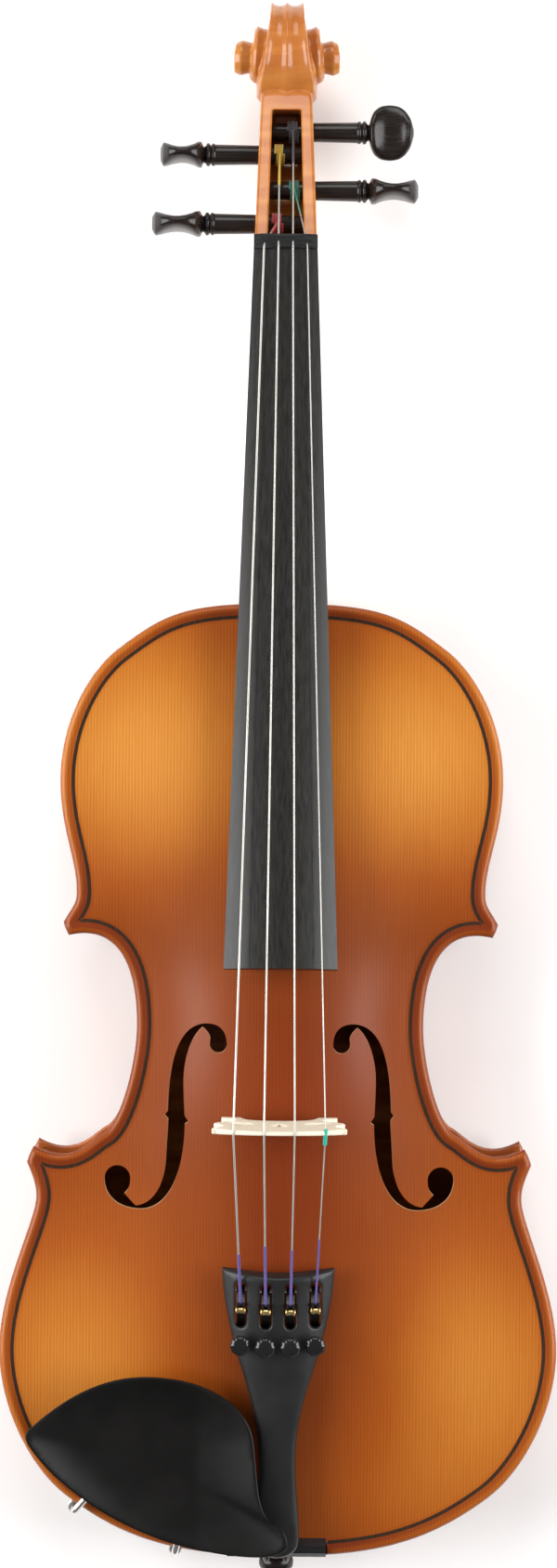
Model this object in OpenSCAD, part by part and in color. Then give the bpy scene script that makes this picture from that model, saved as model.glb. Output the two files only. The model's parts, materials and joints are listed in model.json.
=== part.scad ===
// Full-size violin with chinrest and four fine tuners.
// Built in the violin's own frame: x across (treble side positive), y from the tail edge towards
// the scroll, z up from the plane where the ribs are glued to the back. place() then lays it on
// its back, with the arch of the back and the scroll on z = 0.

/* [Body] */
// Length of the plates
body_l = 356.5; // [350:0.5:362]
// Width of the upper bout
upper_w = 165.8; // [160:0.2:170]
// Width of the waist
waist_w = 107.2; // [102:0.2:112]
// Width of the lower bout
lower_w = 208.6; // [202:0.2:214]
// Height of the ribs
rib_h = 31; // [29:0.5:33]
// Thickness of a rib
rib_t = 1.2; // [1:0.1:1.6]
// How far the plates stand out past the ribs
overhang = 2.5; // [2:0.1:3]
// Thickness of a plate at its edge
edge_t = 4; // [3.5:0.1:4.5]
// Rise of the top's arch above its gluing plane
top_arch = 15.5; // [14:0.5:17]
// Rise of the back's arch below its gluing plane
back_arch = 15; // [13:0.5:17]

/* [Neck and strings] */
// Distance from the nut to the edge of the body
neck_l = 133; // [130:0.5:134]
// Width of the fingerboard at the nut
board_w_nut = 24; // [23:0.1:25]
// Width of the fingerboard at its bridge end
board_w_end = 42; // [41:0.1:43]
// Length of the fingerboard
board_l = 270; // [265:1:272]
// Radius of the fingerboard's top across the strings
board_r = 42; // [40:1:46]
// String spacing over the bridge, first to last
bridge_span = 33.6; // [32:0.2:35]
// String spacing over the nut, first to last
nut_span = 16.2; // [15:0.1:17]

/* [Fittings] */
// Distance of the bridge from the tail edge
bridge_y = 162; // [160:0.5:163]
// Length of the tailpiece
tail_l = 109; // [106:0.5:111]
// Diameter of the end button's head
button_d = 13; // [12:0.1:14]
// Peg diameter at the middle of its shaft
peg_d = 6.9; // [6.5:0.1:7.2]
// Diameter of a fine tuner's knob
knob_d = 7.7; // [7:0.1:8]

/* [Hidden] */
$fn = 48;
STRINGS = ["g", "d", "a", "e"];

// ---------- placing on the table ----------
// Tilt that brings the scroll and the back's arch to the same level, and the lift to z = 0
rest_tilt = 1.29;
rest_lift = 11.62;
rest_shift = -289.29;

module place() {
    translate([0, rest_shift, rest_lift]) rotate([rest_tilt, 0, 0]) children();
}

// ---------- curves ----------
function mix(a, b, t) = a + (b - a) * t;
function bez(p, t) = pow(1 - t, 3) * p[0] + 3 * pow(1 - t, 2) * t * p[1]
    + 3 * (1 - t) * t * t * p[2] + pow(t, 3) * p[3];
function curve(p, n) = [for (i = [0:n - 1]) bez(p, i / n)];
function flip(points) = [for (p = points) [-p[0], p[1]]];
function backwards(points) = [for (i = [len(points) - 1:-1:0]) points[i]];
function arc(c, r, a0, a1, n) =
    [for (i = [0:n - 1]) let (a = mix(a0, a1, i / n)) c + r * [cos(a), sin(a)]];

// ---------- outline of the plates ----------
// Treble half, clockwise from the neck to the tail. Each stretch is [curve, steps, from, to]:
// from and to are the places on the centre line that its two ends look at.
uw = upper_w / 2;
ww = waist_w / 2;
lw = lower_w / 2;
HALF_CURVES = [
    [[[0, body_l], [37.5, body_l], [44.5, 352], [61.2, 339.4]], 6, 328, 312],
    [[[61.2, 339.4], [71.6, 331.6], [uw, 313], [uw, 290]], 6, 312, 290],
    [[[uw, 290], [uw, 271.7], [76.5, 260.5], [76.5, 248]], 5, 290, 262],
    [[[76.5, 248], [76.5, 243.5], [77.7, 243.1], [81.3, 236.8]], 3, 262, 258],
    [[[81.3, 236.8], [80.6, 235.1], [79.9, 233.5], [79.3, 231.8]], 1, 258, 256],
    [[[79.3, 231.8], [59.4, 236.5], [ww, 218], [ww, 198]], 7, 256, 202],
    [[[ww, 198], [ww, 185.2], [59.3, 161.1], [66.1, 157.7]], 5, 202, 160],
    [[[66.1, 157.7], [71, 155.2], [77.4, 144.9], [91.9, 152.8]], 6, 160, 106],
    [[[91.9, 152.8], [92.7, 150.8], [93.6, 148.8], [94.4, 146.8]], 1, 106, 103],
    [[[94.4, 146.8], [92.3, 141.9], [90.8, 138.4], [90.8, 134]], 3, 103, 98],
    [[[90.8, 134], [90.8, 125], [lw, 99.8], [lw, 77]], 6, 98, 78],
    [[[lw, 77], [lw, 56], [92.8, 32.6], [78.8, 22.1]], 6, 78, 50],
    [[[78.8, 22.1], [57.4, 6.1], [38, 0], [0, 0]], 8, 50, 28]];
// [outline point, centre-line place] around the treble half
HALF = concat([for (c = HALF_CURVES) for (i = [0:c[1] - 1])
    [bez(c[0], i / c[1]), mix(c[2], c[3], i / c[1])]], [[[0, 0], 28]]);
half_n = len(HALF);
// The whole loop: down the treble side and up the bass side
LOOP = concat(HALF, [for (i = [half_n - 2:-1:1]) [[-HALF[i][0][0], HALF[i][0][1]], HALF[i][1]]]);
OUTLINE = [for (p = LOOP) p[0]];
// Height of the arch along the centre line, as a share of the full rise
function ridge(y) = lookup(y, [[28, 0.5], [60, 0.82], [110, 0.97], [180, 1], [250, 0.96],
    [300, 0.8], [328, 0.58]]);
// Half the width at a place along the body, from the points that lie further down than the one before
function half_width(y) = lookup(y, [for (i = [0:half_n - 1])
    if (i == 0 || HALF[i][0][1] < HALF[i - 1][0][1]) [HALF[i][0][1], HALF[i][0][0]]]);
// Height of an arch above its edge: rise, flat border, place
function arch_at(rise, border, x, y) = let (w = half_width(y), t = (w - border - abs(x)) / (w - border))
    rise * ridge(y) * (1 - cos(180 * max(0, min(1, t)))) / 2;

// One ring of a plate: every outline point moved towards the centre line
function ring(border, t, base, rise) = [for (p = LOOP)
    let (a = p[0], c = [0, p[1]], l = norm(c - a), d = border + t * (l - border),
         q = a + (c - a) * d / l, f = (1 - cos(180 * t)) / 2)
    [q[0], q[1], base + rise * ridge(p[1]) * f]];

// Faces between two neighbouring rings, and over the last ring, all as triangles
function band(k, n) = [for (i = [0:n - 1])
    let (a = k * n + i, b = k * n + (i + 1) % n, c = b + n, d = a + n)
    for (f = [[a, b, c], [a, c, d]]) f];
function cap(k, n, flipped) = [for (i = [0:n / 2 - 1])
    let (a = k * n + i, b = a + 1, c = k * n + n - i - 1, d = k * n + (n - i) % n)
    for (f = i == 0 ? [[a, b, c]] : i == n / 2 - 1 ? [[a, b, d]] : [[a, b, c], [a, c, d]])
        flipped ? f : [f[0], f[2], f[1]]];

module rings_solid(rings) {
    n = len(rings[0]);
    last = len(rings) - 1;
    points = [for (r = rings) for (p = r) p];
    faces = concat([for (k = [0:last - 1]) for (f = band(k, n)) f],
        cap(0, n, true), cap(last, n, false));
    polyhedron(points, faces);
}

// The arched plate seen from outside, lying with its gluing plane on z = 0
module plate_shell(arch, thickness) {
    channel = edge_t - 0.7;
    border = 5.5;
    inner = 9;
    t_steps = [0, 0.14, 0.3, 0.5, 0.72, 0.88];
    inside = [for (t = [0.88, 0.62, 0.36, 0.15, 0]) ring(inner, t, 0, arch - thickness)];
    outside = [for (t = t_steps) ring(border, t, channel, arch - channel)];
    rings_solid(concat(inside,
        [[for (p = OUTLINE) [p[0], p[1], 0]], [for (p = OUTLINE) [p[0], p[1], edge_t - 0.8]],
         ring(1.6, 0, edge_t, 0)],
        outside));
}

// ---------- sound holes ----------
upper_eye = [23, 191.9];
upper_eye_r = 3.3;
lower_eye = [60.4, 141.2];
lower_eye_r = 4.9;
F_HOLE = concat(
    curve([[28.8, 198.2], [33, 195], [35.9, 187], [35.9, 178]], 6),
    [[35.9, 178], [35.4, 165], [33.9, 163]],
    curve([[35.3, 161.9], [35.3, 150], [38.5, 130.1], [52, 130.1]], 8),
    curve([[52, 130.1], [60, 130.1], [65.3, 134.5], [65.3, 141.2]], 5),
    arc(lower_eye, lower_eye_r, 0, 200, 8),
    [[57.7, 135.8]],
    curve([[53.5, 131.4], [47, 132], [42.4, 139], [42.2, 150]], 6),
    [[42.2, 150], [41.5, 163.6], [42.8, 165.2]],
    curve([[41.7, 166.6], [41.5, 185], [38, 199.6], [27, 199.6]], 8),
    curve([[27, 199.6], [22.5, 199.6], [19.8, 197], [19.8, 191.9]], 5),
    arc(upper_eye, upper_eye_r, 180, 380, 8),
    [[26.1, 195.2]]);

module f_holes() {
    translate([0, 0, rib_h - 5]) linear_extrude(40) {
        polygon(F_HOLE);
        polygon(flip(F_HOLE));
    }
}

// ---------- flat shapes set in from the outline ----------
module inset(d) {
    offset(delta = -d) polygon(OUTLINE);
}
module border_strip(d0, d1) {
    difference() {
        inset(d0);
        inset(d1);
    }
}
purfling_in = 4.2;
purfling_w = 1.3;
purfling_deep = 1.8;
groove_gap = 0.05;
top_channel = rib_h + edge_t - 0.7;

// Where the neck root is let into the body
root_w_low = 21;
root_w_high = 31;
root_y = 350.5;
root_h = rib_h + 10.6;
module neck_root(gap) {
    translate([0, body_l + 1, 0]) rotate([90, 0, 0]) linear_extrude(body_l + 1 - root_y + gap)
        polygon([[-root_w_low / 2 - gap, -0.001], [root_w_low / 2 + gap, -0.001],
                 [root_w_high / 2 + gap, root_h], [-root_w_high / 2 - gap, root_h]]);
}

saddle_w = 37;
saddle_d = 7;
button_z = rib_h / 2;

module top_plate() {
    color([0.80, 0.42, 0.12]) place() difference() {
        resize([0, 0, 0]) difference() {
            translate([0, 0, rib_h]) plate_shell(top_arch, 3);
            f_holes();
            translate([0, 0, top_channel - purfling_deep - groove_gap]) linear_extrude(20)
                border_strip(purfling_in - groove_gap, purfling_in + purfling_w + groove_gap);
        }
        neck_root(groove_gap);
        translate([-saddle_w / 2 - groove_gap, -1, rib_h - 1])
            cube([saddle_w + 2 * groove_gap, saddle_d + 1 + groove_gap, 20]);
    }
}

module back_plate() {
    color([0.66, 0.33, 0.11]) place() resize([0, 0, 0]) difference() {
        union() {
            mirror([0, 0, 1]) plate_shell(back_arch, 3.5);
            // button under the heel of the neck
            translate([0, body_l - 2, -edge_t]) linear_extrude(edge_t) difference() {
                translate([0, 3]) circle(r = 10.8, $fn = 40);
                translate([-20, -20]) square([40, 20]);
            }
        }
        mirror([0, 0, 1]) translate([0, 0, edge_t - 0.7 - purfling_deep - groove_gap])
            linear_extrude(20) difference() {
                border_strip(purfling_in - groove_gap, purfling_in + purfling_w + groove_gap);
                translate([-11, body_l - 12]) square([22, 14]);
            }
    }
}

module purfling() {
    color([0.12, 0.07, 0.04]) place() {
        difference() {
            translate([0, 0, top_channel - purfling_deep]) linear_extrude(purfling_deep)
                border_strip(purfling_in, purfling_in + purfling_w);
            neck_root(3 * groove_gap);
            translate([-saddle_w / 2 - 0.2, -1, rib_h]) cube([saddle_w + 0.4, saddle_d + 1.2, 9]);
        }
        mirror([0, 0, 1]) translate([0, 0, edge_t - 0.7 - purfling_deep])
            linear_extrude(purfling_deep) difference() {
                border_strip(purfling_in, purfling_in + purfling_w);
                translate([-11.1, body_l - 12]) square([22.2, 14]);
            }
    }
}

// ---------- ribs, blocks and linings ----------
upper_corner = [80.3, 234.3];
lower_corner = [93.1, 149.8];
upper_mitre = [-0.8, 0.6];
lower_mitre = [-0.72, -0.69];
far = 150;
joint_gap = 0.02;
// The three stretches of one side, parted at the corners' mitre lines
module stretch(name) {
    a = upper_corner - 3 * upper_mitre;
    b = upper_corner + 60 * upper_mitre;
    c = lower_corner - 3 * lower_mitre;
    d = lower_corner + 60 * lower_mitre;
    if (name == "upper")
        translate([0, joint_gap]) polygon([[0, 400], [0, b[1]], b, a, [far, a[1]], [far, 400]]);
    if (name == "centre")
        polygon([[20, b[1]], b, a, [far, a[1]], [far, c[1]], c, d, [20, d[1]]]);
    if (name == "lower")
        translate([0, -joint_gap]) polygon([[0, -50], [0, d[1]], d, c, [far, c[1]], [far, -50]]);
}
// Corners of the ribs are cut back square, a little inside the plates' corners
module corner_trim() {
    translate(upper_corner) rotate(-22) translate([-2.2, -5]) square([9, 10]);
    translate(lower_corner) rotate(23) translate([-2.2, -5]) square([9, 10]);
}
module rib(name, side) {
    color([0.62, 0.32, 0.10]) place() mirror([side < 0 ? 1 : 0, 0, 0]) difference() {
        linear_extrude(rib_h) difference() {
            intersection() {
                border_strip(overhang, overhang + rib_t);
                translate([joint_gap, 0]) stretch(name);
            }
            corner_trim();
        }
        neck_root(groove_gap);
        button_hole();
    }
}

module blocks_plan(grow) {
    translate([-27 - grow, 334 - grow]) square([54 + 2 * grow, 40]);
    translate([-25 - grow, -10]) square([50 + 2 * grow, 28 + grow]);
    for (side = [0, 1]) mirror([side, 0]) {
        offset(delta = grow) polygon([[64, 252], [95, 252], [95, 225], [70, 225]]);
        offset(delta = grow) polygon([[72, 158], [105, 160], [105, 128], [80, 128]]);
    }
}
module inside_ribs() {
    intersection() {
        inset(overhang + rib_t + groove_gap);
        children();
    }
}
module corner_blocks() {
    color([0.85, 0.70, 0.48]) place() linear_extrude(rib_h) difference() {
        inside_ribs() difference() {
            blocks_plan(0);
            translate([-40, -20]) square([80, 400]);
        }
    }
}
module top_block() {
    color([0.85, 0.70, 0.48]) place() difference() {
        linear_extrude(rib_h) inside_ribs() translate([-27, 334]) square([54, 40]);
        neck_root(groove_gap);
    }
}
module bottom_block() {
    color([0.85, 0.70, 0.48]) place() difference() {
        linear_extrude(rib_h) inside_ribs() translate([-25, -10]) square([50, 28]);
        button_hole();
    }
}
module linings() {
    lining_h = 7.5;
    lining_t = 1.9;
    color([0.88, 0.76, 0.55]) place() for (z = [0, rib_h - lining_h])
        translate([0, 0, z]) linear_extrude(lining_h) difference() {
            border_strip(overhang + rib_t, overhang + rib_t + lining_t);
            blocks_plan(0.1);
        }
}
module bass_bar() {
    bar_x = -17;
    bar_w = 5.5;
    bar_ends = [48, 312];
    gap = 0.25;
    stations = [for (i = [0:12]) mix(bar_ends[0], bar_ends[1], i / 12)];
    function under(y) = rib_h + min([for (x = [bar_x - bar_w / 2, bar_x + bar_w / 2])
        arch_at(top_arch - 3, 9, x, y)]) - gap;
    color([0.88, 0.76, 0.55]) place() translate([bar_x + bar_w / 2, 0, 0]) rotate([90, 0, -90])
        linear_extrude(bar_w) mirror([1, 0]) polygon(concat(
            [for (y = stations) [y, under(y) - 0.8]],
            backwards([for (y = stations) [y, under(y) - 3.5
                - 8 * sin(180 * (y - bar_ends[0]) / (bar_ends[1] - bar_ends[0]))]])));
}
module sound_post() {
    post = [19, bridge_y - 8];
    post_d = 6.2;
    gap = 0.25;
    function room(rise) = min([for (a = [0:45:315])
        arch_at(rise, 9, post[0] + post_d / 2 * cos(a), post[1] + post_d / 2 * sin(a))]) - gap;
    low = -room(back_arch - 3.5);
    color([0.90, 0.80, 0.60]) place() translate([post[0], post[1], low])
        cylinder(d = post_d, h = rib_h + room(top_arch - 3) - low);
}

// ---------- fingerboard, nut and neck ----------
nut_y = body_l + neck_l;
board_slope = 7;
board_top_nut = 33.2;
board_edge_t = 4.5;
nut_l = 5.5;
function board_w(y) = mix(board_w_nut, board_w_end, (nut_y - y) / board_l);
function sag(w) = board_r - sqrt(board_r * board_r - w * w / 4);
// Flat underside of the board: its depth below the top centre line, and its height at y
function board_deep(run) = board_edge_t + mix(sag(board_w_nut), sag(board_w_end), run / board_l);
function board_under(y) = board_top_nut + (nut_y - y) * tan(board_slope)
    - board_deep((nut_y - y) / cos(board_slope)) / cos(board_slope);

// Board frame: origin at the nut, on the board's top centre line, y towards the scroll
module board_frame() {
    translate([0, nut_y, board_top_nut]) rotate([-board_slope, 0, 0]) children();
}
module board_prism(profile, half) {
    translate([-half, 0, 0]) rotate([90, 0, 90]) linear_extrude(2 * half) polygon(profile);
}
module fingerboard() {
    end_w = board_w_end / 2;
    start_w = board_w_nut / 2;
    color([0.10, 0.10, 0.11]) place() board_frame() difference() {
        intersection() {
            translate([0, 0, -30]) linear_extrude(40) polygon([[-start_w, 0], [start_w, 0],
                [end_w, -board_l], [-end_w, -board_l]]);
            board_prism([[0, 2], [0, -board_deep(0)], [-board_l, -board_deep(board_l)], [-board_l, 2]], 30);
            translate([0, 1, -board_r]) rotate([90, 0, 0])
                cylinder(r = board_r, h = board_l + 2, $fn = 180);
        }
        // hollow under the free end
        translate([0, -board_l + 128, -30 - 9.5]) rotate([90, 0, 0]) cylinder(r = 30, h = 140, $fn = 96);
    }
}
nut_rise = 0.9;
module nut() {
    color([0.07, 0.07, 0.07]) place() difference() {
        nut_block();
        // the strings run down to their pegs from the crest
        for (i = [0:3]) {
            rod(at_nut(i), at_peg(i), string_d(i) + 0.1);
            translate(at_nut(i)) sphere(d = string_d(i) + 0.1);
        }
    }
}
module nut_block() {
    board_frame() difference() {
        intersection() {
            translate([-board_w_nut / 2, 0.02, -6.2]) cube([board_w_nut, nut_l, 8]);
            translate([0, -1, -board_r + nut_rise]) rotate([-90, 0, 0])
                cylinder(r = board_r, h = 8, $fn = 180);
            board_prism([[0, -6.2], [0, 2], [2.5, 2], [nut_l + 0.02, 0], [nut_l + 0.02, -6.2]], 13);
        }
        for (i = [0:3]) translate([nut_x(i), -1, nut_string_z(i)]) rotate([-90, 0, 0])
            cylinder(d = string_d(i) + 0.08, h = 1 + nut_crest);
    }
}

// Loft through sections that all have the same number of points
module loft(sections) {
    n = len(sections[0]);
    last = len(sections) - 1;
    faces = concat([for (k = [0:last - 1]) for (f = band(k, n)) f],
        [[for (i = [n - 1:-1:0]) i]], [[for (i = [0:n - 1]) last * n + i]]);
    polyhedron([for (s = sections) for (p = s) p], faces);
}
neck_steps = [356.4, 359, 362, 365, 368, 369.5, 371, 374, 379, 385, 393, 405, 430, 460, 489.4];
function neck_low(y) = lookup(y, [[356, 0.05], [368.2, 0.05], [369.6, 6], [372, 13], [377, 19.2],
    [384, 23.2], [393, 24.9], [405, 24.6], [489.6, 14.6]]);
function neck_half(y, share) = let (top = board_w(y) / 2 - 0.05, heel = lookup(y, [[356, 1], [376, 0.7],
    [400, 0]])) top * (1 - 0.36 * heel * share);
// D-shaped section of the neck at y: flat under the board, round below
function neck_section(y) = let (high = board_under(y) - 0.08, low = neck_low(y), deep = high - low)
    [for (i = [12:-1:0]) let (a = 180 * i / 12, share = sin(a), flat = lookup(y, [[370, 0.35], [395, 1]]))
        [neck_half(y, pow(share, 2)) * (cos(a) > 0 ? 1 : -1) * pow(abs(cos(a)), mix(0.25, 0.8, flat)),
         y, high - deep * pow(share, mix(0.5, 0.85, flat))]];

// ---------- pegbox and scroll ----------
scroll_c = [567, -3.5];
scroll_start = 262;
scroll_stretch = 1.15;
function box_front(y) = 28.4 - (y - nut_y) * 0.36;
function box_back(y) = lookup(y, [[484, 15.1], [487, 13.5], [491, 8.2], [496, 4.2], [503, 1.2], [515, -3.2],
    [530, -9], [545, -16], [556, -21.8], [562, -23.9]]);
function box_half(y) = mix(11.9, 9.9, (y - nut_y) / 58);
function box_inner(y) = mix(6.9, 5.4, (y - nut_y) / 58);
box_steps = [484, 489.6, 492, 496, 503, 515, 530, 543, 550, 556];
function box_section(y) = let (w = y < nut_y ? board_w_nut / 2 - 0.1 : box_half(y), low = box_back(y),
        high = y < nut_y + nut_l ? board_under(nut_y) - 0.9 : box_front(y), r = 3, s = 1.2)
    [[-w + s, y, high], [-w, y, high - s], [-w, y, low + r], [-w + r * 0.3, y, low + r * 0.3],
     [-w + r, y, low], [w - r, y, low], [w - r * 0.3, y, low + r * 0.3], [w, y, low + r],
     [w, y, high - s], [w - s, y, high]];
cavity_steps = [nut_y + nut_l + 0.1, 510, 525, 540, 546];
function cavity_section(y) = let (w = box_inner(y), low = box_back(y) + lookup(y, [[495, 6.5],
        [510, 5.5], [540, 6], [546, 10]]))
    [[-w, y, 40], [-w, y, low], [w, y, low], [w, y, 40]];

// Volute: a spiral whose steps stand out further on each turn
volute_steps = 24;
volute_r = [21, 12.8, 8.4, 5.2];
eye_r = 4.4;
function spiral_r(turn) = lookup(turn, [for (k = [0:3]) [k, volute_r[k]]]);
function spiral_w(turn) = lookup(turn, [[0, 7.2], [0.27, 6.6], [0.5, 8.2], [0.77, 11.6], [1, 11.8],
    [1.3, 12.6], [2, 15.2], [3, 20.3]]);
// The two sides share the rims: each entry is [turn offset for the radius, turn offset for the width]
volute_rims = [[3, 3], [2, 3], [2, 2], [1, 2], [1, 1], [0, 1], [0, 0]];
function volute_ring(rim, side) = [for (i = [0:volute_steps - 1]) let (s = i / volute_steps,
        r = rim[0] == 3 ? eye_r : spiral_r(rim[0] + s) - (rim[1] > rim[0] ? 0.5 : 0),
        a = scroll_start + 360 * s)
    [side * spiral_w(min(3, rim[1] + s - (rim[1] == 3 ? s : 0))),
     scroll_c[0] + scroll_stretch * r * cos(a), scroll_c[1] + r * sin(a)]];
module volute() {
    rings = concat([for (rim = volute_rims) volute_ring(rim, 1)],
        [for (k = [len(volute_rims) - 1:-1:0]) volute_ring(volute_rims[k], -1)]);
    loft(rings);
}

peg_y = [500.8, 528.6, 538, 514.3];
peg_side = [-1, -1, 1, 1];
function peg_z(i) = (box_front(peg_y[i]) + box_back(peg_y[i])) / 2 + 2;
peg_taper = 1 / 30;
module peg_bore(i) {
    half = 16;
    translate([-peg_side[i] * half, peg_y[i], peg_z(i)]) rotate([0, peg_side[i] * 90, 0])
        cylinder(d1 = peg_d - peg_taper * half + 0.12, d2 = peg_d + peg_taper * half + 0.12, h = 2 * half);
}
module neck_scroll() {
    color([0.72, 0.38, 0.12]) place() difference() {
        resize([0, 0, 0]) difference() {
            union() {
                loft([for (y = neck_steps) neck_section(y)]);
                loft([for (y = box_steps) box_section(y)]);
                volute();
                intersection() {
                    neck_root(0);
                    translate([-30, 0, 0.05]) cube([60, 400, root_h - 0.2]);
                }
            }
            loft([for (y = cavity_steps) cavity_section(y)]);
            translate([-20, nut_y - 0.02, board_under(nut_y) - 1.6]) cube([40, nut_l + 0.2, 20]);
        }
        for (i = [0:3]) peg_bore(i);
    }
}

// ---------- pegs ----------
peg_reach = [50.7, 48, 48.6, 50.2];
peg_turn = [90, 90, 0, 90];
collar_x = 27;
// Peg along +z: z = 0 is the middle of the pegbox
module peg_shape(reach, turn, tip) {
    small = peg_d - peg_taper * tip;
    big = peg_d + peg_taper * collar_x;
    translate([0, 0, -tip]) cylinder(d1 = small, d2 = big, h = tip + collar_x + 0.5);
    translate([0, 0, -tip - 1]) cylinder(d1 = small - 2.4, d2 = small, h = 1.01);
    translate([0, 0, collar_x]) rotate_extrude() polygon([[0, 0], [3.9, 0], [4.3, 0.6], [4.3, 1.2],
        [3.6, 1.7], [3.6, 2.1], [4.4, 2.6], [4.4, 3.4], [3.3, 4.2], [2.8, 6], [0, 6]]);
    head_from = collar_x + 4.5;
    centre = reach - 9.2;
    rotate([0, 0, turn]) {
        // waist, flat disc and the small bead at its end
        intersection() {
            translate([-15, -15, head_from]) cube([30, 30, reach - head_from]);
            translate([0, 0, centre]) rotate([0, 90, 0]) translate([0, 0, -4.2])
                cylinder(r = 10.4, h = 8.4);
            translate([0, 0, centre]) sphere(r = 10.6);
            difference() {
                translate([-15, -15, 0]) cube([30, 30, 60]);
                for (s = [-1, 1]) translate([s * (2.6 + 11), 0, centre]) rotate([90, 0, 0])
                    cylinder(r = 11, h = 30, center = true);
            }
        }
    }
    translate([0, 0, head_from]) cylinder(d1 = 6, d2 = 8, h = 4);
}
module peg(i) {
    color([0.13, 0.08, 0.06]) place() translate([0, peg_y[i], peg_z(i)])
        rotate([0, peg_side[i] * 90, 0]) peg_shape(peg_reach[i], peg_turn[i], box_half(peg_y[i]) - 0.8);
}

// ---------- strings ----------
string_ds = [0.82, 0.74, 0.68, 0.5];
function string_d(i) = string_ds[i];
function nut_x(i) = mix(-nut_span, nut_span, i / 3) / 2;
function bridge_x(i) = mix(-bridge_span, bridge_span, i / 3) / 2;
function nut_string_z(i) = nut_rise - sag(2 * abs(nut_x(i))) - 0.1 + string_d(i) / 2;
// Bridge top centre, and its curve across the strings
bridge_h = 33;
bridge_foot = rib_h + top_arch;
bridge_top = bridge_foot + bridge_h;
bridge_r = 42;
function bridge_z(i) = bridge_top - 0.25 - (bridge_r - sqrt(bridge_r * bridge_r - pow(bridge_x(i), 2)))
    + string_d(i) / 2 + (i == 3 ? -0.6 : 0.2);
// The same points in the violin frame
function from_board(p) = [p[0], nut_y + p[1] * cos(board_slope) + p[2] * sin(board_slope),
    board_top_nut - p[1] * sin(board_slope) + p[2] * cos(board_slope)];
nut_crest = 1.2;
function at_nut(i) = from_board([nut_x(i), nut_crest, nut_string_z(i)]);
function at_bridge(i) = [bridge_x(i), bridge_y, bridge_z(i)];
winding_wall = 0.9;
winding_x = [-3.2, -2.6, 2.6, 3.2];
function winding_r(i) = peg_d / 2 + winding_wall;
// Where a string comes onto its winding
function at_peg(i) = [winding_x[i], peg_y[i], peg_z(i) + winding_r(i) + string_d(i) / 2 + 0.12];
tail_tilt = 7.4;
tail_top = 60;
function from_tail(p) = [p[0], tail_l + p[1] * cos(tail_tilt) - p[2] * sin(tail_tilt),
    tail_top + p[1] * sin(tail_tilt) + p[2] * cos(tail_tilt)];
tuner_span = 27.6;
function tuner_x(i) = mix(-tuner_span, tuner_span, i / 3) / 2;
tail_r = 34;
function tail_sag(x) = tail_r - sqrt(tail_r * tail_r - x * x);
ball_y = -14.6;
ball_up = 0.6;
function ball_at(i) = [tuner_x(i), ball_y, ball_up - tail_sag(tuner_x(i))];
string_stop = 2.4;
function at_tail(i) = from_tail(ball_at(i) + [0, string_stop, 0.1]);

module rod(a, b, d) {
    v = b - a;
    translate(a) rotate([0, acos(v[2] / norm(v)), atan2(v[1], v[0])]) cylinder(d = d, h = norm(v));
}
silk_l = [20, 24, 22.5, 26];
// Share of the afterlength by which the wire reaches into its silk
silk_bite = 0.01;
// How much thicker the ball at a bend is than the string
bend_swell = 0.04;
module string(i) {
    d = string_d(i);
    route = [at_tail(i), at_bridge(i), at_nut(i), at_peg(i)];
    silk_end = route[0] + (route[1] - route[0]) * silk_l[i] / norm(route[1] - route[0]);
    color([0.80, 0.79, 0.74]) place() {
        rod(silk_end - silk_bite * (route[1] - route[0]), route[1], d);
        for (k = [1:2]) rod(route[k], route[k + 1], d);
        for (k = [1:2]) translate(route[k]) sphere(d = d + bend_swell);
        rod(route[0], silk_end, d + 0.35);
    }
}
module winding(i) {
    color([0.75, 0.72, 0.62]) place() translate([0, peg_y[i], peg_z(i)]) difference() {
        translate([winding_x[i] - 2.1, 0, 0]) rotate([0, 90, 0]) cylinder(r = winding_r(i), h = 4.2);
        rotate([0, peg_side[i] * 90, 0]) translate([0, 0, -12.5])
            cylinder(d1 = peg_d - peg_taper * 12.5 + 0.02, d2 = peg_d + peg_taper * 12.5 + 0.02, h = 25);
    }
}
module string_sleeve() {
    a = at_bridge(3);
    along = (at_tail(3) - a) / norm(at_tail(3) - a);
    color([0.10, 0.55, 0.45]) place() difference() {
        rod(a + along * 1.5, a + along * 6.5, 1.6);
        rod(a + along * 0.5, a + along * 7.5, string_d(3) + 0.04);
    }
}

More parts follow.
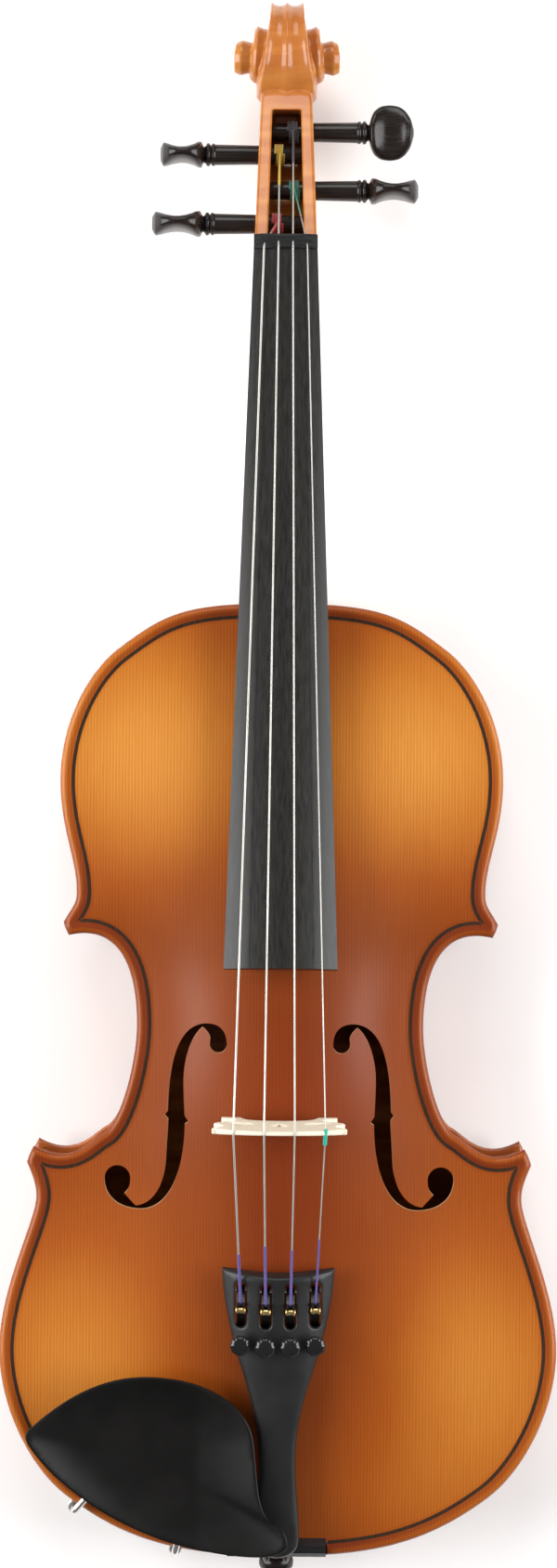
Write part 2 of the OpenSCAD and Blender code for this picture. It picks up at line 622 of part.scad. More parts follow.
// ---------- bridge ----------
module bridge() {
    foot = [21.5, 14.2];
    function foot_z(x) = rib_h + 0.22 + edge_t - 0.7
        + arch_at(top_arch - edge_t + 0.7, 5.5, x, bridge_y) - bridge_foot;
    half = concat(
        [[foot[0], foot_z(foot[0])], [foot[0] - 0.4, foot_z(foot[0]) + 2.2]],
        curve([[17.5, foot_z(20) + 3.4], [13.5, 4.5], [16.5, 7.5], [20.3, 10.2]], 6),
        curve([[20.3, 10.2], [23.5, 12.5], [24.5, 14.5], [22.2, 16.2]], 4),
        curve([[22.2, 16.2], [19.5, 17.5], [20, 21], [24.6, 25.4]], 5),
        [[24.6, 25.4], [23, 26.8]]);
    crown = arc([0, bridge_h - bridge_r], bridge_r, 58.5, 121.5, 16);
    arch_cut = curve([[foot[1], foot_z(foot[1])], [11.5, 7.5], [5, 8], [0, 8]], 6);
    color([0.93, 0.88, 0.76]) place() translate([0, bridge_y, bridge_foot]) difference() {
        intersection() {
            translate([0, 3, 0]) rotate([90, 0, 0]) linear_extrude(6) difference() {
                polygon(concat([for (p = arch_cut) p], [[0, 8]], flip(backwards(arch_cut)),
                    flip(half), backwards(crown), backwards(half)));
                // heart and the two side eyes
                translate([0, 17.5]) circle(d = 4.4);
                translate([0, 15]) rotate(45) square(3.2, center = true);
                for (s = [-1, 1]) {
                    translate([s * 12.3, 14.2]) circle(d = 5.6);
                    translate([s * 14.6, 12.6]) circle(d = 2.6);
                }
            }
            board_prism([[-2.2, -9], [-2.2, 3], [-0.75, bridge_h + 1], [0.75, bridge_h + 1],
                [2.2, 3], [2.2, -9]], 30);
        }
        for (i = [0:3]) translate([bridge_x(i), -5, bridge_z(i) - bridge_foot])
            rotate([-90, 0, 0]) cylinder(d = string_d(i) + 0.1, h = 10);
    }
}

// ---------- saddle, end button and tailgut ----------
saddle_top = 7.2;
button_neck_d = 8;
module button_hole() {
    translate([0, -3, button_z]) rotate([-90, 0, 0]) cylinder(d1 = button_neck_d + 0.06, d2 = 7.16, h = 27);
}
module saddle() {
    color([0.07, 0.07, 0.07]) place() difference() {
        translate([0, 0, rib_h]) board_prism([[0.3, 0.02], [saddle_d, 0.02], [saddle_d, 3.4],
            [4.5, saddle_top], [2, saddle_top], [0.3, 5]], saddle_w / 2);
        for (s = [-1, 1]) gut_side(s, gut_d + 0.1);
    }
}
module end_button() {
    color([0.10, 0.08, 0.07]) place() translate([0, 0, button_z]) rotate([90, 0, 0]) rotate_extrude()
        polygon([[0, -20], [3.6, -20], [3.9, -overhang - 0.02], [button_d / 2 - 1.2, -overhang - 0.02],
            [button_d / 2 - 0.8, -1.5], [4.6, -0.6], [4.6, 2.6], [button_d / 2 - 0.6, 3.4],
            [button_d / 2, 4.6], [button_d / 2, 7], [button_d / 2 - 0.8, 8.2], [button_d / 2 - 2.6, 9],
            [0, 9]]);
}
gut_d = 1.8;
gut_x = 3.4;
gut_loop_r = 4.6 + gut_d / 2 + 0.05;
gut_start = 20;
gut_up = 2.4;
gut_back = -1.6;
// One side of the tailgut, from the tailpiece over the saddle and down to the end button
module gut_side(s, d) {
    over = rib_h + saddle_top + 0.55;
    route = [from_tail([s * gut_x, -tail_l + gut_start, -tail_floor + gut_up]),
        [s * gut_x, 4, over + gut_d / 2 - 0.42], [s * gut_x, gut_back, over - gut_up],
        [s * gut_loop_r, gut_back, button_z]];
    for (k = [0:2]) rod(route[k], route[k + 1], d);
    for (k = [1:3]) translate(route[k]) sphere(d = d + bend_swell);
}
module tailgut() {
    color([0.10, 0.10, 0.10]) place() {
        for (s = [-1, 1]) gut_side(s, gut_d);
        translate([0, gut_back, button_z]) rotate([90, 0, 0]) rotate([0, 0, 180])
            rotate_extrude(angle = 180) translate([gut_loop_r, 0]) circle(d = gut_d);
    }
}

// ---------- tailpiece ----------
tail_floor = 7.5;
module tail_frame() {
    translate([0, tail_l, tail_top]) rotate([tail_tilt, 0, 0]) children();
}
TAIL_HALF = concat([[0, -1.6]], [[10, -1], [20.6, 0]],
    curve([[21, -0.5], [20.4, -10], [18.4, -19], [16.6, -27]], 6),
    curve([[16.6, -27], [14.2, -36], [8, -50], [7, -66]], 8),
    curve([[7, -66], [6.3, -80], [8.4, -92], [8.4, -101.5]], 5),
    curve([[8.4, -101.5], [8.4, -106], [5, -108.8], [0, -108.8]], 6), [[0, -108.8]]);
screw_y = -26.6;
screw_d = 2.4;
lever_w = 3;
pivot_y = -8.6;
pivot_z = -6.4;
arm_z = -6.8;
module tailpiece() {
    plan = concat(TAIL_HALF, backwards(flip(TAIL_HALF)));
    color([0.09, 0.09, 0.10]) place() tail_frame() difference() {
        intersection() {
            translate([0, 0, -20]) linear_extrude(30) polygon(plan);
            translate([0, 1, -tail_r]) rotate([90, 0, 0]) cylinder(r = tail_r, h = 130, $fn = 180);
            board_prism([[2, 2], [2, -10.5], [-34, -10.5], [-70, -tail_floor], [-112, -tail_floor],
                [-112, 2]], 30);
        }
        // hollow underneath that houses the levers
        intersection() {
            translate([0, 2, -tail_r]) rotate([90, 0, 0]) cylinder(r = tail_r - 3, h = 40, $fn = 96);
            translate([-19, -32.5, -20]) cube([38, 40, 30]);
        }
        for (i = [0:3]) {
            x = tuner_x(i);
            translate([x - 2.35, -21.5, -30]) cube([4.7, 15.5, 40]);
            translate([x, screw_y, -20]) cylinder(d = screw_d + 0.1, h = 30);
        }
        // channel and holes of the tailgut
        translate([-5.2, -tail_l - 5, -tail_floor - 5]) cube([10.4, 27, 5 + 4.4]);
    }
}
module tailgut_nuts() {
    color([0.75, 0.60, 0.25]) place() for (s = [-1, 1]) {
        difference() {
            rod(from_tail([s * gut_x, -tail_l + gut_start - 3.5, -tail_floor + gut_up]),
                from_tail([s * gut_x, -tail_l + gut_start - 0.5, -tail_floor + gut_up]), 3.2);
            gut_side(s, gut_d + 0.08);
        }
    }
}
module tuner_place(i) {
    place() tail_frame() translate([tuner_x(i), 0, -tail_sag(tuner_x(i))]) children();
}
module tuner_pins() {
    color([0.75, 0.75, 0.77]) for (i = [0:3]) tuner_place(i)
        translate([-2.7, pivot_y, pivot_z]) rotate([0, 90, 0]) cylinder(d = 1.5, h = 5.4);
}
module tuner_lever(i) {
    color([0.15, 0.15, 0.15]) tuner_place(i) difference() {
        union() {
            translate([-lever_w / 2, 0, 0]) rotate([90, 0, 90]) linear_extrude(lever_w) polygon([
                [pivot_y + 1.8, pivot_z - 1.6], [pivot_y + 1.8, pivot_z + 1.4], [-12, -1], [-11.4, 2.2],
                [-12.9, 2.4], [-13.6, -2.5], [-15.5, arm_z + 1.4], [screw_y - 1.4, arm_z + 0.6],
                [screw_y - 1.4, arm_z - 0.6], [-16, arm_z - 0.4]]);
        }
        translate([-3, pivot_y, pivot_z]) rotate([0, 90, 0]) cylinder(d = 1.6, h = 6);
        translate([-0.7, -20, -0.9]) cube([1.4, 20, 6]);
    }
}
module ball_end(i) {
    color([0.80, 0.62, 0.25]) tuner_place(i) difference() {
        translate([-1.9, ball_y, ball_up]) rotate([0, 90, 0]) cylinder(d = 2.6, h = 3.8);
        translate([-3, ball_y, ball_up]) rotate([0, 90, 0]) cylinder(d = 1, h = 6);
    }
}
screw_top = 3.2;
module tuner_screw(i) {
    color([0.70, 0.70, 0.72]) tuner_place(i) translate([0, screw_y, 0]) {
        low = arm_z + 0.95;
        translate([0, 0, low]) cylinder(d = screw_d, h = screw_top + 2.6 - low);
    }
}
module tuner_knob(i) {
    color([0.06, 0.06, 0.06]) tuner_place(i) translate([0, screw_y, screw_top]) difference() {
        rotate_extrude() polygon(concat([[0, 0], [2.6, 0], [knob_d / 2 - 0.4, 1.2], [knob_d / 2, 2]],
            [for (a = [0:15:75]) [knob_d / 2 - 1.2 + 1.2 * cos(a), 3.2 + 1.1 * sin(a)]], [[0, 4.5]]));
        translate([0, 0, -0.5]) cylinder(d = screw_d + 0.1, h = 3.2);
    }
}

// ---------- chinrest ----------
chin_z = 47.5;
CHIN_PLAN = concat(
    curve([[-92, 50], [-80, 61], [-66, 69.5], [-48.8, 69.5]], 7),
    curve([[-48.8, 69.5], [-30, 69.5], [-9.5, 62], [-8.5, 44]], 8),
    curve([[-8.5, 44], [-7, 32], [-7.5, 20], [-1.4, 16.5]], 5),
    curve([[-1.4, 16.5], [2.5, 14.5], [4.5, 11], [4, 8]], 3),
    curve([[4, 8], [2, 3], [-10, 3], [-24, 5]], 5),
    curve([[-24, 5], [-52, 8.5], [-80, 27], [-91.5, 44.5]], 8),
    [[-91.5, 44.5]]);
chin_c = [-46, 36];
function chin_ring(share, z0, lift) = [for (p = CHIN_PLAN) let (q = chin_c + (p - chin_c) * share)
    [q[0], q[1], z0 + lift + 4.5 * pow(max(0, -q[0] - 40) / 50, 2) + max(0, q[0] + 30) * 0.14]];
module chinrest() {
    rings = [chin_ring(0.3, chin_z, -1.5), chin_ring(0.7, chin_z, -0.5), chin_ring(0.93, chin_z, 2),
        chin_ring(1, chin_z, 5.2), chin_ring(0.985, chin_z, 6.3), chin_ring(0.94, chin_z, 5.9),
        chin_ring(0.75, chin_z, 3.4), chin_ring(0.45, chin_z, 1.8), chin_ring(0.2, chin_z, 1.4)];
    color([0.08, 0.08, 0.08]) place() difference() {
        resize([0, 0, 0]) union() {
            rings_fan(rings);
            translate([0, 0, rib_h + edge_t + cork_t + 0.15]) linear_extrude(9) chin_feet();
        }
        for (x = clamp_x) clamp_leg(x, 0.05);
    }
}
module rings_fan(rings) {
    n = len(rings[0]);
    last = len(rings) - 1;
    faces = concat([for (k = [0:last - 1]) for (f = band(k, n)) f],
        [for (i = [0:n - 1]) [(i + 1) % n, i, (last + 1) * n]],
        [for (i = [0:n - 1]) [last * n + i, last * n + (i + 1) % n, (last + 1) * n + 1]]);
    points = concat([for (r = rings) for (p = r) p],
        [[chin_c[0], chin_c[1], chin_z - 1.6], [chin_c[0], chin_c[1], chin_z + 1.5]]);
    polyhedron(points, faces);
}
// The two feet, over the edge of the top
cork_t = 3.2;
module chin_feet() {
    intersection() {
        inset(0.5);
        union() {
            translate([-72, 27]) rotate(-52) square([24, 9], center = true);
            translate([-38, 10.5]) rotate(-17) square([26, 9], center = true);
        }
    }
}
clamp_x = [-76, -38];
barrel_z = [8, 26];
clamp_y_outer = 16.5;
clamp_y_inner = 1.2;
function clamp_y(x) = x == clamp_x[0] ? clamp_y_outer : clamp_y_inner;
module clamp_leg(x, gap) {
    y = clamp_y(x);
    translate([x, y, barrel_z[1] - 6]) cylinder(d = 2.6 + gap, h = 22.5);
}
module chinrest_bracket() {
    color([0.75, 0.75, 0.76]) place() for (x = clamp_x) clamp_leg(x, 0);
}
module chinrest_corks() {
    color([0.72, 0.52, 0.33]) place() translate([0, 0, rib_h + edge_t + 0.1])
        linear_extrude(cork_t) chin_feet();
}
module clamp_barrel(x) {
    color([0.80, 0.80, 0.82]) place() translate([x, clamp_y(x), 0]) difference() {
        translate([0, 0, barrel_z[0]]) cylinder(d = 5, h = barrel_z[1] - barrel_z[0]);
        translate([0, 0, barrel_z[0] - 1]) cylinder(d = 2.7, h = 30);
        translate([-4, 0, 17]) rotate([0, 90, 0]) cylinder(d = 1.6, h = 8);
    }
}
module clamp_foot() {
    low = -edge_t - 2.2;
    color([0.75, 0.75, 0.76]) place() {
        for (x = clamp_x) translate([x, clamp_y(x), low]) cylinder(d = 2.6, h = barrel_z[0] + 6 - low);
        translate([0, 0, low]) linear_extrude(1.8) polygon([[-79, 15], [-75, 13], [-40, -0.6], [-34, 0.5],
            [-34, 9], [-62, 26], [-70, 30], [-79, 19]]);
    }
}

top_plate();
back_plate();
purfling();
rib("upper", -1);  // rib_upper_bass
rib("upper", 1);  // rib_upper_treble
rib("centre", -1);  // rib_centre_bass
rib("centre", 1);  // rib_centre_treble
rib("lower", -1);  // rib_lower_bass
rib("lower", 1);  // rib_lower_treble
linings();
corner_blocks();
top_block();
bottom_block();
bass_bar();
sound_post();
neck_scroll();
fingerboard();
nut();
saddle();
end_button();
bridge();
tailpiece();
tailgut();
tailgut_nuts();
tuner_pins();
string_sleeve();
chinrest();
chinrest_corks();
chinrest_bracket();
clamp_barrel(clamp_x[1]);  // clamp_barrel_inner
clamp_barrel(clamp_x[0]);  // clamp_barrel_outer
clamp_foot();
for (i = [0:3]) {
    peg(i);
    winding(i);
    string(i);
    tuner_screw(i);
    tuner_knob(i);
    tuner_lever(i);
    ball_end(i);
}
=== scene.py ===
import json
import math

import bmesh
import bpy
import numpy as np
from mathutils import Matrix, Vector, geometry


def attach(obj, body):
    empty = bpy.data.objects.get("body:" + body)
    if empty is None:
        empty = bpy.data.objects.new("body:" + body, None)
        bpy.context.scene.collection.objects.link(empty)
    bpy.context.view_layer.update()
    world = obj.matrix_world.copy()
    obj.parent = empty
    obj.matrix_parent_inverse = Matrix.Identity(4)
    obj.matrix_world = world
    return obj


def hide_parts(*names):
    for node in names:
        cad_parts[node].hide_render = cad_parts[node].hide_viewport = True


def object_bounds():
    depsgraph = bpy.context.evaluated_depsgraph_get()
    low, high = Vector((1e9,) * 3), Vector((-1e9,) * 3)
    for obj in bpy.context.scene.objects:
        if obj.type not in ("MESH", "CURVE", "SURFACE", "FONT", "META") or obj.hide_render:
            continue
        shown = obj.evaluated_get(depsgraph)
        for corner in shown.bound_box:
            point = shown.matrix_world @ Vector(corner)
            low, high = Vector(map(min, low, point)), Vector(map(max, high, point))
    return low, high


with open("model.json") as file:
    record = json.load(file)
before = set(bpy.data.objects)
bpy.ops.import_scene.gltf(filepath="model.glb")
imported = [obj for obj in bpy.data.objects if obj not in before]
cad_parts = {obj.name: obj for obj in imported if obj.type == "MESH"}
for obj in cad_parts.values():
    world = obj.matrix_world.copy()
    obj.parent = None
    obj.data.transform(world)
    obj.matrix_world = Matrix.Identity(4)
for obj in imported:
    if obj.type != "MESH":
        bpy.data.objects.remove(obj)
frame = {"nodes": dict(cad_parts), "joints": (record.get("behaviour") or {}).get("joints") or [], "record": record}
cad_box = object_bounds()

# ---------------------------------------------------------------- violin frame
# Shapes are made in millimetres in the violin's own frame: x across (treble side positive), y from
# the tail edge to the scroll, z up from the plane where the ribs meet the back. TO_ROW lays them
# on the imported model, found from the clamp's upright axis and the end button's mount.
BUTTON_AT = Vector((0, -5.8, 15.5))
JOINTS = {j["name"]: j for j in frame["joints"]}
MOUNTS = {m["name"]: m for m in frame["record"]["mounts"]}
UP = Vector(JOINTS["clamp_turn"]["axis"])
TILT = math.atan2(-UP.y, UP.z)
TO_ROW = (Matrix.Translation(Vector(MOUNTS["end_button_head"]["pos_m"]))
          @ Matrix.Rotation(TILT, 4, "X") @ Matrix.Scale(0.001, 4)
          @ Matrix.Translation(-BUTTON_AT))

BODY_L, NECK_L, RIB_H = 356.5, 133.0, 31.0
UPPER, WAIST, LOWER = 82.9, 53.6, 104.3
EDGE_T, TOP_ARCH, BACK_ARCH = 4.0, 15.5, 15.0
OVERHANG, RIB_T = 2.5, 1.2
NUT_Y = BODY_L + NECK_L
BORDER = 5.5
STRINGS = "gdae"


def mix(a, b, t):
    return a + (b - a) * t


def lookup(x, table):
    xs, ys = zip(*table)
    return float(np.interp(x, xs, ys))


def bez(p, t):
    s = 1 - t
    return [s ** 3 * a + 3 * s * s * t * b + 3 * s * t * t * c + t ** 3 * d for a, b, c, d in zip(*p)]


# ---------------------------------------------------------------- outline
HALF_CURVES = [
    [(0, BODY_L), (37.5, BODY_L), (44.5, 352), (61.2, 339.4)],
    [(61.2, 339.4), (71.6, 331.6), (UPPER, 313), (UPPER, 290)],
    [(UPPER, 290), (UPPER, 271.7), (76.5, 260.5), (76.5, 248)],
    [(76.5, 248), (76.5, 243.5), (77.7, 243.1), (81.3, 236.8)],
    [(81.3, 236.8), (80.9, 234.9), (80.2, 233.2), (79.3, 231.8)],
    [(79.3, 231.8), (59.4, 236.5), (WAIST, 218), (WAIST, 198)],
    [(WAIST, 198), (WAIST, 185.2), (59.3, 161.1), (66.1, 157.7)],
    [(66.1, 157.7), (71, 155.2), (77.4, 144.9), (91.9, 152.8)],
    [(91.9, 152.8), (93, 150.9), (93.9, 148.9), (94.4, 146.8)],
    [(94.4, 146.8), (92.3, 141.9), (90.8, 138.4), (90.8, 134)],
    [(90.8, 134), (90.8, 125), (LOWER, 99.8), (LOWER, 77)],
    [(LOWER, 77), (LOWER, 56), (92.8, 32.6), (78.8, 22.1)],
    [(78.8, 22.1), (57.4, 6.1), (38, 0), (0, 0)]]
# The stretches that bound the upper, centre and lower bout, and where they part
UPPER_BOUT, CENTRE_BOUT, LOWER_BOUT = (0, 4), (5, 8), (9, 13)


def walk(curves, step):
    """Points about `step` apart along a run of curves, both ends included."""
    points = [Vector(curves[0][0])]
    for c in curves:
        length = sum((Vector(c[i + 1]) - Vector(c[i])).length for i in range(3))
        n = max(2, round(length / step))
        points += [Vector(bez(c, (i + 1) / n)) for i in range(n)]
    return points


def mirrored(points):
    return [Vector((-p[0], p[1])) for p in points]


def whole_outline(step):
    half = walk(HALF_CURVES, step)
    return half + list(reversed(mirrored(half[1:-1])))


def set_in(points, d):
    """The same run moved d to its right, which is inwards on the treble half."""
    out = []
    for i, p in enumerate(points):
        t = (points[min(i + 1, len(points) - 1)] - points[max(i - 1, 0)]).normalized()
        out.append(p + Vector((t.y, -t.x)) * d)
    return out


OUTLINE = whole_outline(1.1)
OUT_XY = np.array([(p.x, p.y) for p in OUTLINE])


def edge_distance(xy):
    """Distance from each point to the outline, for an array of points."""
    a, b = OUT_XY, np.roll(OUT_XY, -1, axis=0)
    ab = b - a
    ab2 = (ab ** 2).sum(1)
    out = np.empty(len(xy))
    for i in range(0, len(xy), 400):
        p = xy[i:i + 400, None, :]
        t = np.clip(((p - a) * ab).sum(2) / ab2, 0, 1)
        out[i:i + 400] = np.sqrt(((p - (a + t[..., None] * ab)) ** 2).sum(2)).min(1)
    return out


def inside(xy, loop):
    x, y = xy[:, 0], xy[:, 1]
    hit = np.zeros(len(xy), bool)
    lp = np.array([(p[0], p[1]) for p in loop])
    for (x0, y0), (x1, y1) in zip(lp, np.roll(lp, -1, axis=0)):
        if y0 != y1:
            hit ^= ((y0 > y) != (y1 > y)) & (x < (x1 - x0) * (y - y0) / (y1 - y0) + x0)
    return hit


# ---------------------------------------------------------------- arching
# The arch is a blown-up skin: a membrane held along the channel, with its cross-section reshaped
# so that it leaves the channel level and is round on top.
CELL = 1.5
GRID_X = np.arange(-108, 108 + CELL, CELL)
GRID_Y = np.arange(-4, 362, CELL)


def membrane():
    gx, gy = np.meshgrid(GRID_X, GRID_Y)
    xy = np.stack([gx.ravel(), gy.ravel()], 1)
    mask = (inside(xy, OUTLINE) & (edge_distance(xy) > BORDER)).reshape(gx.shape)
    b = mask.astype(float)
    h = np.zeros_like(b)

    def laplace(v):
        out = 4 * v
        out[1:, :] -= v[:-1, :]
        out[:-1, :] -= v[1:, :]
        out[:, 1:] -= v[:, :-1]
        out[:, :-1] -= v[:, 1:]
        return out * mask

    r = b - laplace(h)
    p = r.copy()
    rr = (r * r).sum()
    for _ in range(900):
        q = laplace(p)
        k = rr / (p * q).sum()
        h += k * p
        r -= k * q
        new = (r * r).sum()
        if new < 1e-6:
            break
        p = r + new / rr * p
        rr = new
    return h


SKIN = membrane()
MID = SKIN[:, len(GRID_X) // 2]
NORM = MID.copy()
LOW_MAX, HIGH_MAX = np.argmax(MID * (GRID_Y < 150)), np.argmax(MID * (GRID_Y > 220))
NORM[:LOW_MAX] = MID[LOW_MAX]
NORM[HIGH_MAX:] = MID[HIGH_MAX]
SHARE = np.clip(SKIN / NORM[:, None], 0, 1)


def share_at(x, y):
    """Bilinear reading of the membrane's share at arrays of places."""
    fx = np.clip((x - GRID_X[0]) / CELL, 0, len(GRID_X) - 1.001)
    fy = np.clip((y - GRID_Y[0]) / CELL, 0, len(GRID_Y) - 1.001)
    ix, iy = fx.astype(int), fy.astype(int)
    tx, ty = fx - ix, fy - iy
    return ((SHARE[iy, ix] * (1 - tx) + SHARE[iy, ix + 1] * tx) * (1 - ty)
            + (SHARE[iy + 1, ix] * (1 - tx) + SHARE[iy + 1, ix + 1] * tx) * ty)


EDGE_PROFILE = [(0, 2.3), (0.25, 3.0), (0.8, 3.62), (1.7, 3.95), (2.4, 3.98), (3.4, 3.7), (4.6, 3.38),
                (5.6, 3.3), (20, 3.3)]


def surface(xy, d, arch):
    """Height of a plate's outer face over its gluing plane."""
    q = share_at(xy[:, 0], xy[:, 1])
    t = 1 - np.sqrt(np.clip(1 - q, 0, 1))
    lift = 0.6 * (1 - np.cos(np.pi * t)) / 2 + 0.4 * q
    edge = np.interp(d, *zip(*EDGE_PROFILE))
    return edge + (arch - 3.3) * lift * np.clip((d - 4.4) / 3, 0, 1)


def underside(xy, d, arch, thickness):
    lift = np.clip((d - 8) / 5, 0, 1)
    lift = lift * lift * (3 - 2 * lift)
    return np.maximum(0, (surface(xy, d, arch) - thickness)) * lift


# ---------------------------------------------------------------- mesh helpers
def new_object(name, verts, faces, body="corpus", slot=None, angle=35):
    mesh = bpy.data.meshes.new(name)
    mesh.from_pydata([tuple(v) for v in verts], [], faces)
    mesh.validate()
    mesh.transform(TO_ROW)
    obj = bpy.data.objects.new(name, mesh)
    bpy.context.scene.collection.objects.link(obj)
    finish_mesh(obj, angle)
    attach(obj, body)
    return obj


def finish_mesh(obj, angle=35):
    mesh = obj.data
    bm = bmesh.new()
    bm.from_mesh(mesh)
    bmesh.ops.remove_doubles(bm, verts=bm.verts, dist=1e-7)
    bmesh.ops.recalc_face_normals(bm, faces=bm.faces)
    bm.to_mesh(mesh)
    bm.free()
    mesh.shade_smooth()
    mesh.set_sharp_from_angle(angle=math.radians(angle))


def apply_modifiers(obj):
    deps = bpy.context.evaluated_depsgraph_get()
    mesh = bpy.data.meshes.new_from_object(obj.evaluated_get(deps))
    obj.modifiers.clear()
    obj.data = mesh


def boolean(obj, cutter, operation="DIFFERENCE"):
    mod = obj.modifiers.new("cut", "BOOLEAN")
    mod.operation = operation
    mod.object = cutter
    mod.solver = "EXACT"
    apply_modifiers(obj)
    bpy.data.objects.remove(cutter)


def set_float(obj, name, values):
    layer = obj.data.attributes.new(name, "FLOAT", "POINT")
    layer.data.foreach_set("value", np.asarray(values, dtype=np.float32))


def violin_coords(obj):
    """The mesh's points back in millimetres of the violin frame."""
    back = TO_ROW.inverted()
    return np.array([tuple(back @ v.co) for v in obj.data.vertices])


# ---------------------------------------------------------------- sound holes
F_EYES = [((23, 191.9), 3.2), ((60.4, 141.2), 4.9)]


def arc(centre, r, a0, a1, n):
    return [Vector((centre[0] + r * math.cos(math.radians(mix(a0, a1, i / n))),
                    centre[1] + r * math.sin(math.radians(mix(a0, a1, i / n))))) for i in range(n + 1)]


def f_hole():
    runs = [
        walk([[(28.8, 198.2), (33, 195), (35.9, 187), (35.9, 178)],
              [(35.9, 178), (35.9, 174), (35.6, 169), (35.4, 165)]], 0.9),
        [Vector((33.9, 163))],
        walk([[(35.3, 161.9), (35.3, 150), (38.5, 130.1), (52, 130.1)],
              [(52, 130.1), (60, 130.1), (65.3, 134.5), (65.3, 141.2)]], 0.9),
        arc(F_EYES[1][0], F_EYES[1][1], 8, 196, 22),
        walk([[(55.6, 139.6), (55.9, 138), (56.6, 136.6), (57.7, 135.8)]], 0.8),
        walk([[(57.7, 135.8), (56.4, 134.4), (54.9, 132.9), (53.5, 131.4)]], 1.2),
        walk([[(53.5, 131.4), (47, 132), (42.4, 139), (42.2, 150)],
              [(42.2, 150), (42, 155), (41.6, 160), (41.5, 163.6)]], 0.9),
        [Vector((42.8, 165.2))],
        walk([[(41.7, 166.6), (41.5, 185), (38, 199.6), (27, 199.6)],
              [(27, 199.6), (22.5, 199.6), (19.8, 197), (19.8, 191.9)]], 0.9),
        arc(F_EYES[0][0], F_EYES[0][1], 186, 378, 18),
        walk([[(26.1, 193), (25.7, 194.6), (26.4, 196.1), (28.8, 198.2)]], 0.9)]
    loop = []
    for run in runs:
        for p in run:
            if not loop or (p - loop[-1]).length > 0.12:
                loop.append(p)
    return loop[:-1] if (loop[0] - loop[-1]).length < 0.12 else loop


F_HOLE = f_hole()


# ---------------------------------------------------------------- node-material helpers
class Mat:
    """A principled material that is wired in a few short lines."""

    def __init__(self, name, **sockets):
        self.mat = bpy.data.materials.new(name)
        self.mat.use_nodes = True
        self.nodes, self.links = self.mat.node_tree.nodes, self.mat.node_tree.links
        self.bsdf = self.nodes["Principled BSDF"]
        for key, value in sockets.items():
            self.bsdf.inputs[key.replace("_", " ")].default_value = value
        self.coords = None

    def add(self, kind, **settings):
        n = self.nodes.new("ShaderNode" + kind)
        for key, value in settings.items():
            if key.startswith("in_"):
                n.inputs[key[3:].replace("_", " ")].default_value = value
            else:
                setattr(n, key, value)
        return n

    def place(self, scale=(1, 1, 1), rotate=(0, 0, 0)):
        """Object coordinates in metres, scaled and turned."""
        if self.coords is None:
            self.coords = self.add("TexCoord")
        m = self.add("Mapping")
        m.inputs["Scale"].default_value = scale
        m.inputs["Rotation"].default_value = rotate
        self.links.new(self.coords.outputs["Object"], m.inputs["Vector"])
        return m.outputs["Vector"]

    def noise(self, vector, scale=1.0, detail=3.0, rough=0.5, distortion=0.0):
        n = self.add("TexNoise", in_Scale=scale, in_Detail=detail, in_Roughness=rough,
                     in_Distortion=distortion)
        self.links.new(vector, n.inputs["Vector"])
        return n.outputs["Fac"]

    def ramp(self, factor, stops):
        r = self.add("ValToRGB")
        while len(r.color_ramp.elements) < len(stops):
            r.color_ramp.elements.new(0.5)
        for e, (at, colour) in zip(r.color_ramp.elements, stops):
            e.position = at
            e.color = (*colour, 1) if isinstance(colour, tuple) else (colour, colour, colour, 1)
        self.links.new(factor, r.inputs["Fac"])
        return r.outputs["Color"]

    def blend(self, factor, a, b, mode="MIX"):
        m = self.add("Mix", data_type="RGBA", blend_type=mode)
        for socket, value in ((m.inputs[0], factor), (m.inputs[6], a), (m.inputs[7], b)):
            if isinstance(value, (int, float)):
                socket.default_value = value
            elif isinstance(value, tuple):
                socket.default_value = (*value, 1)
            else:
                self.links.new(value, socket)
        return m.outputs[2]

    def math(self, operation, a, b=0.5):
        m = self.add("Math", operation=operation)
        for i, value in enumerate((a, b)):
            if isinstance(value, (int, float)):
                m.inputs[i].default_value = value
            else:
                self.links.new(value, m.inputs[i])
        return m.outputs[0]

    def attribute(self, name):
        return self.add("Attribute", attribute_name=name).outputs["Fac"]

    def colour(self, socket):
        self.links.new(socket, self.bsdf.inputs["Base Color"])

    def roughness(self, socket):
        self.links.new(socket, self.bsdf.inputs["Roughness"])

    def bump(self, height, strength=0.2, distance=0.0002):
        b = self.add("Bump", in_Strength=strength, in_Distance=distance)
        self.links.new(height, b.inputs["Height"])
        self.links.new(b.outputs["Normal"], self.bsdf.inputs["Normal"])


def paint(obj, *mats):
    obj.data.materials.clear()
    for m in mats:
        obj.data.materials.append(m.mat if isinstance(m, Mat) else m)


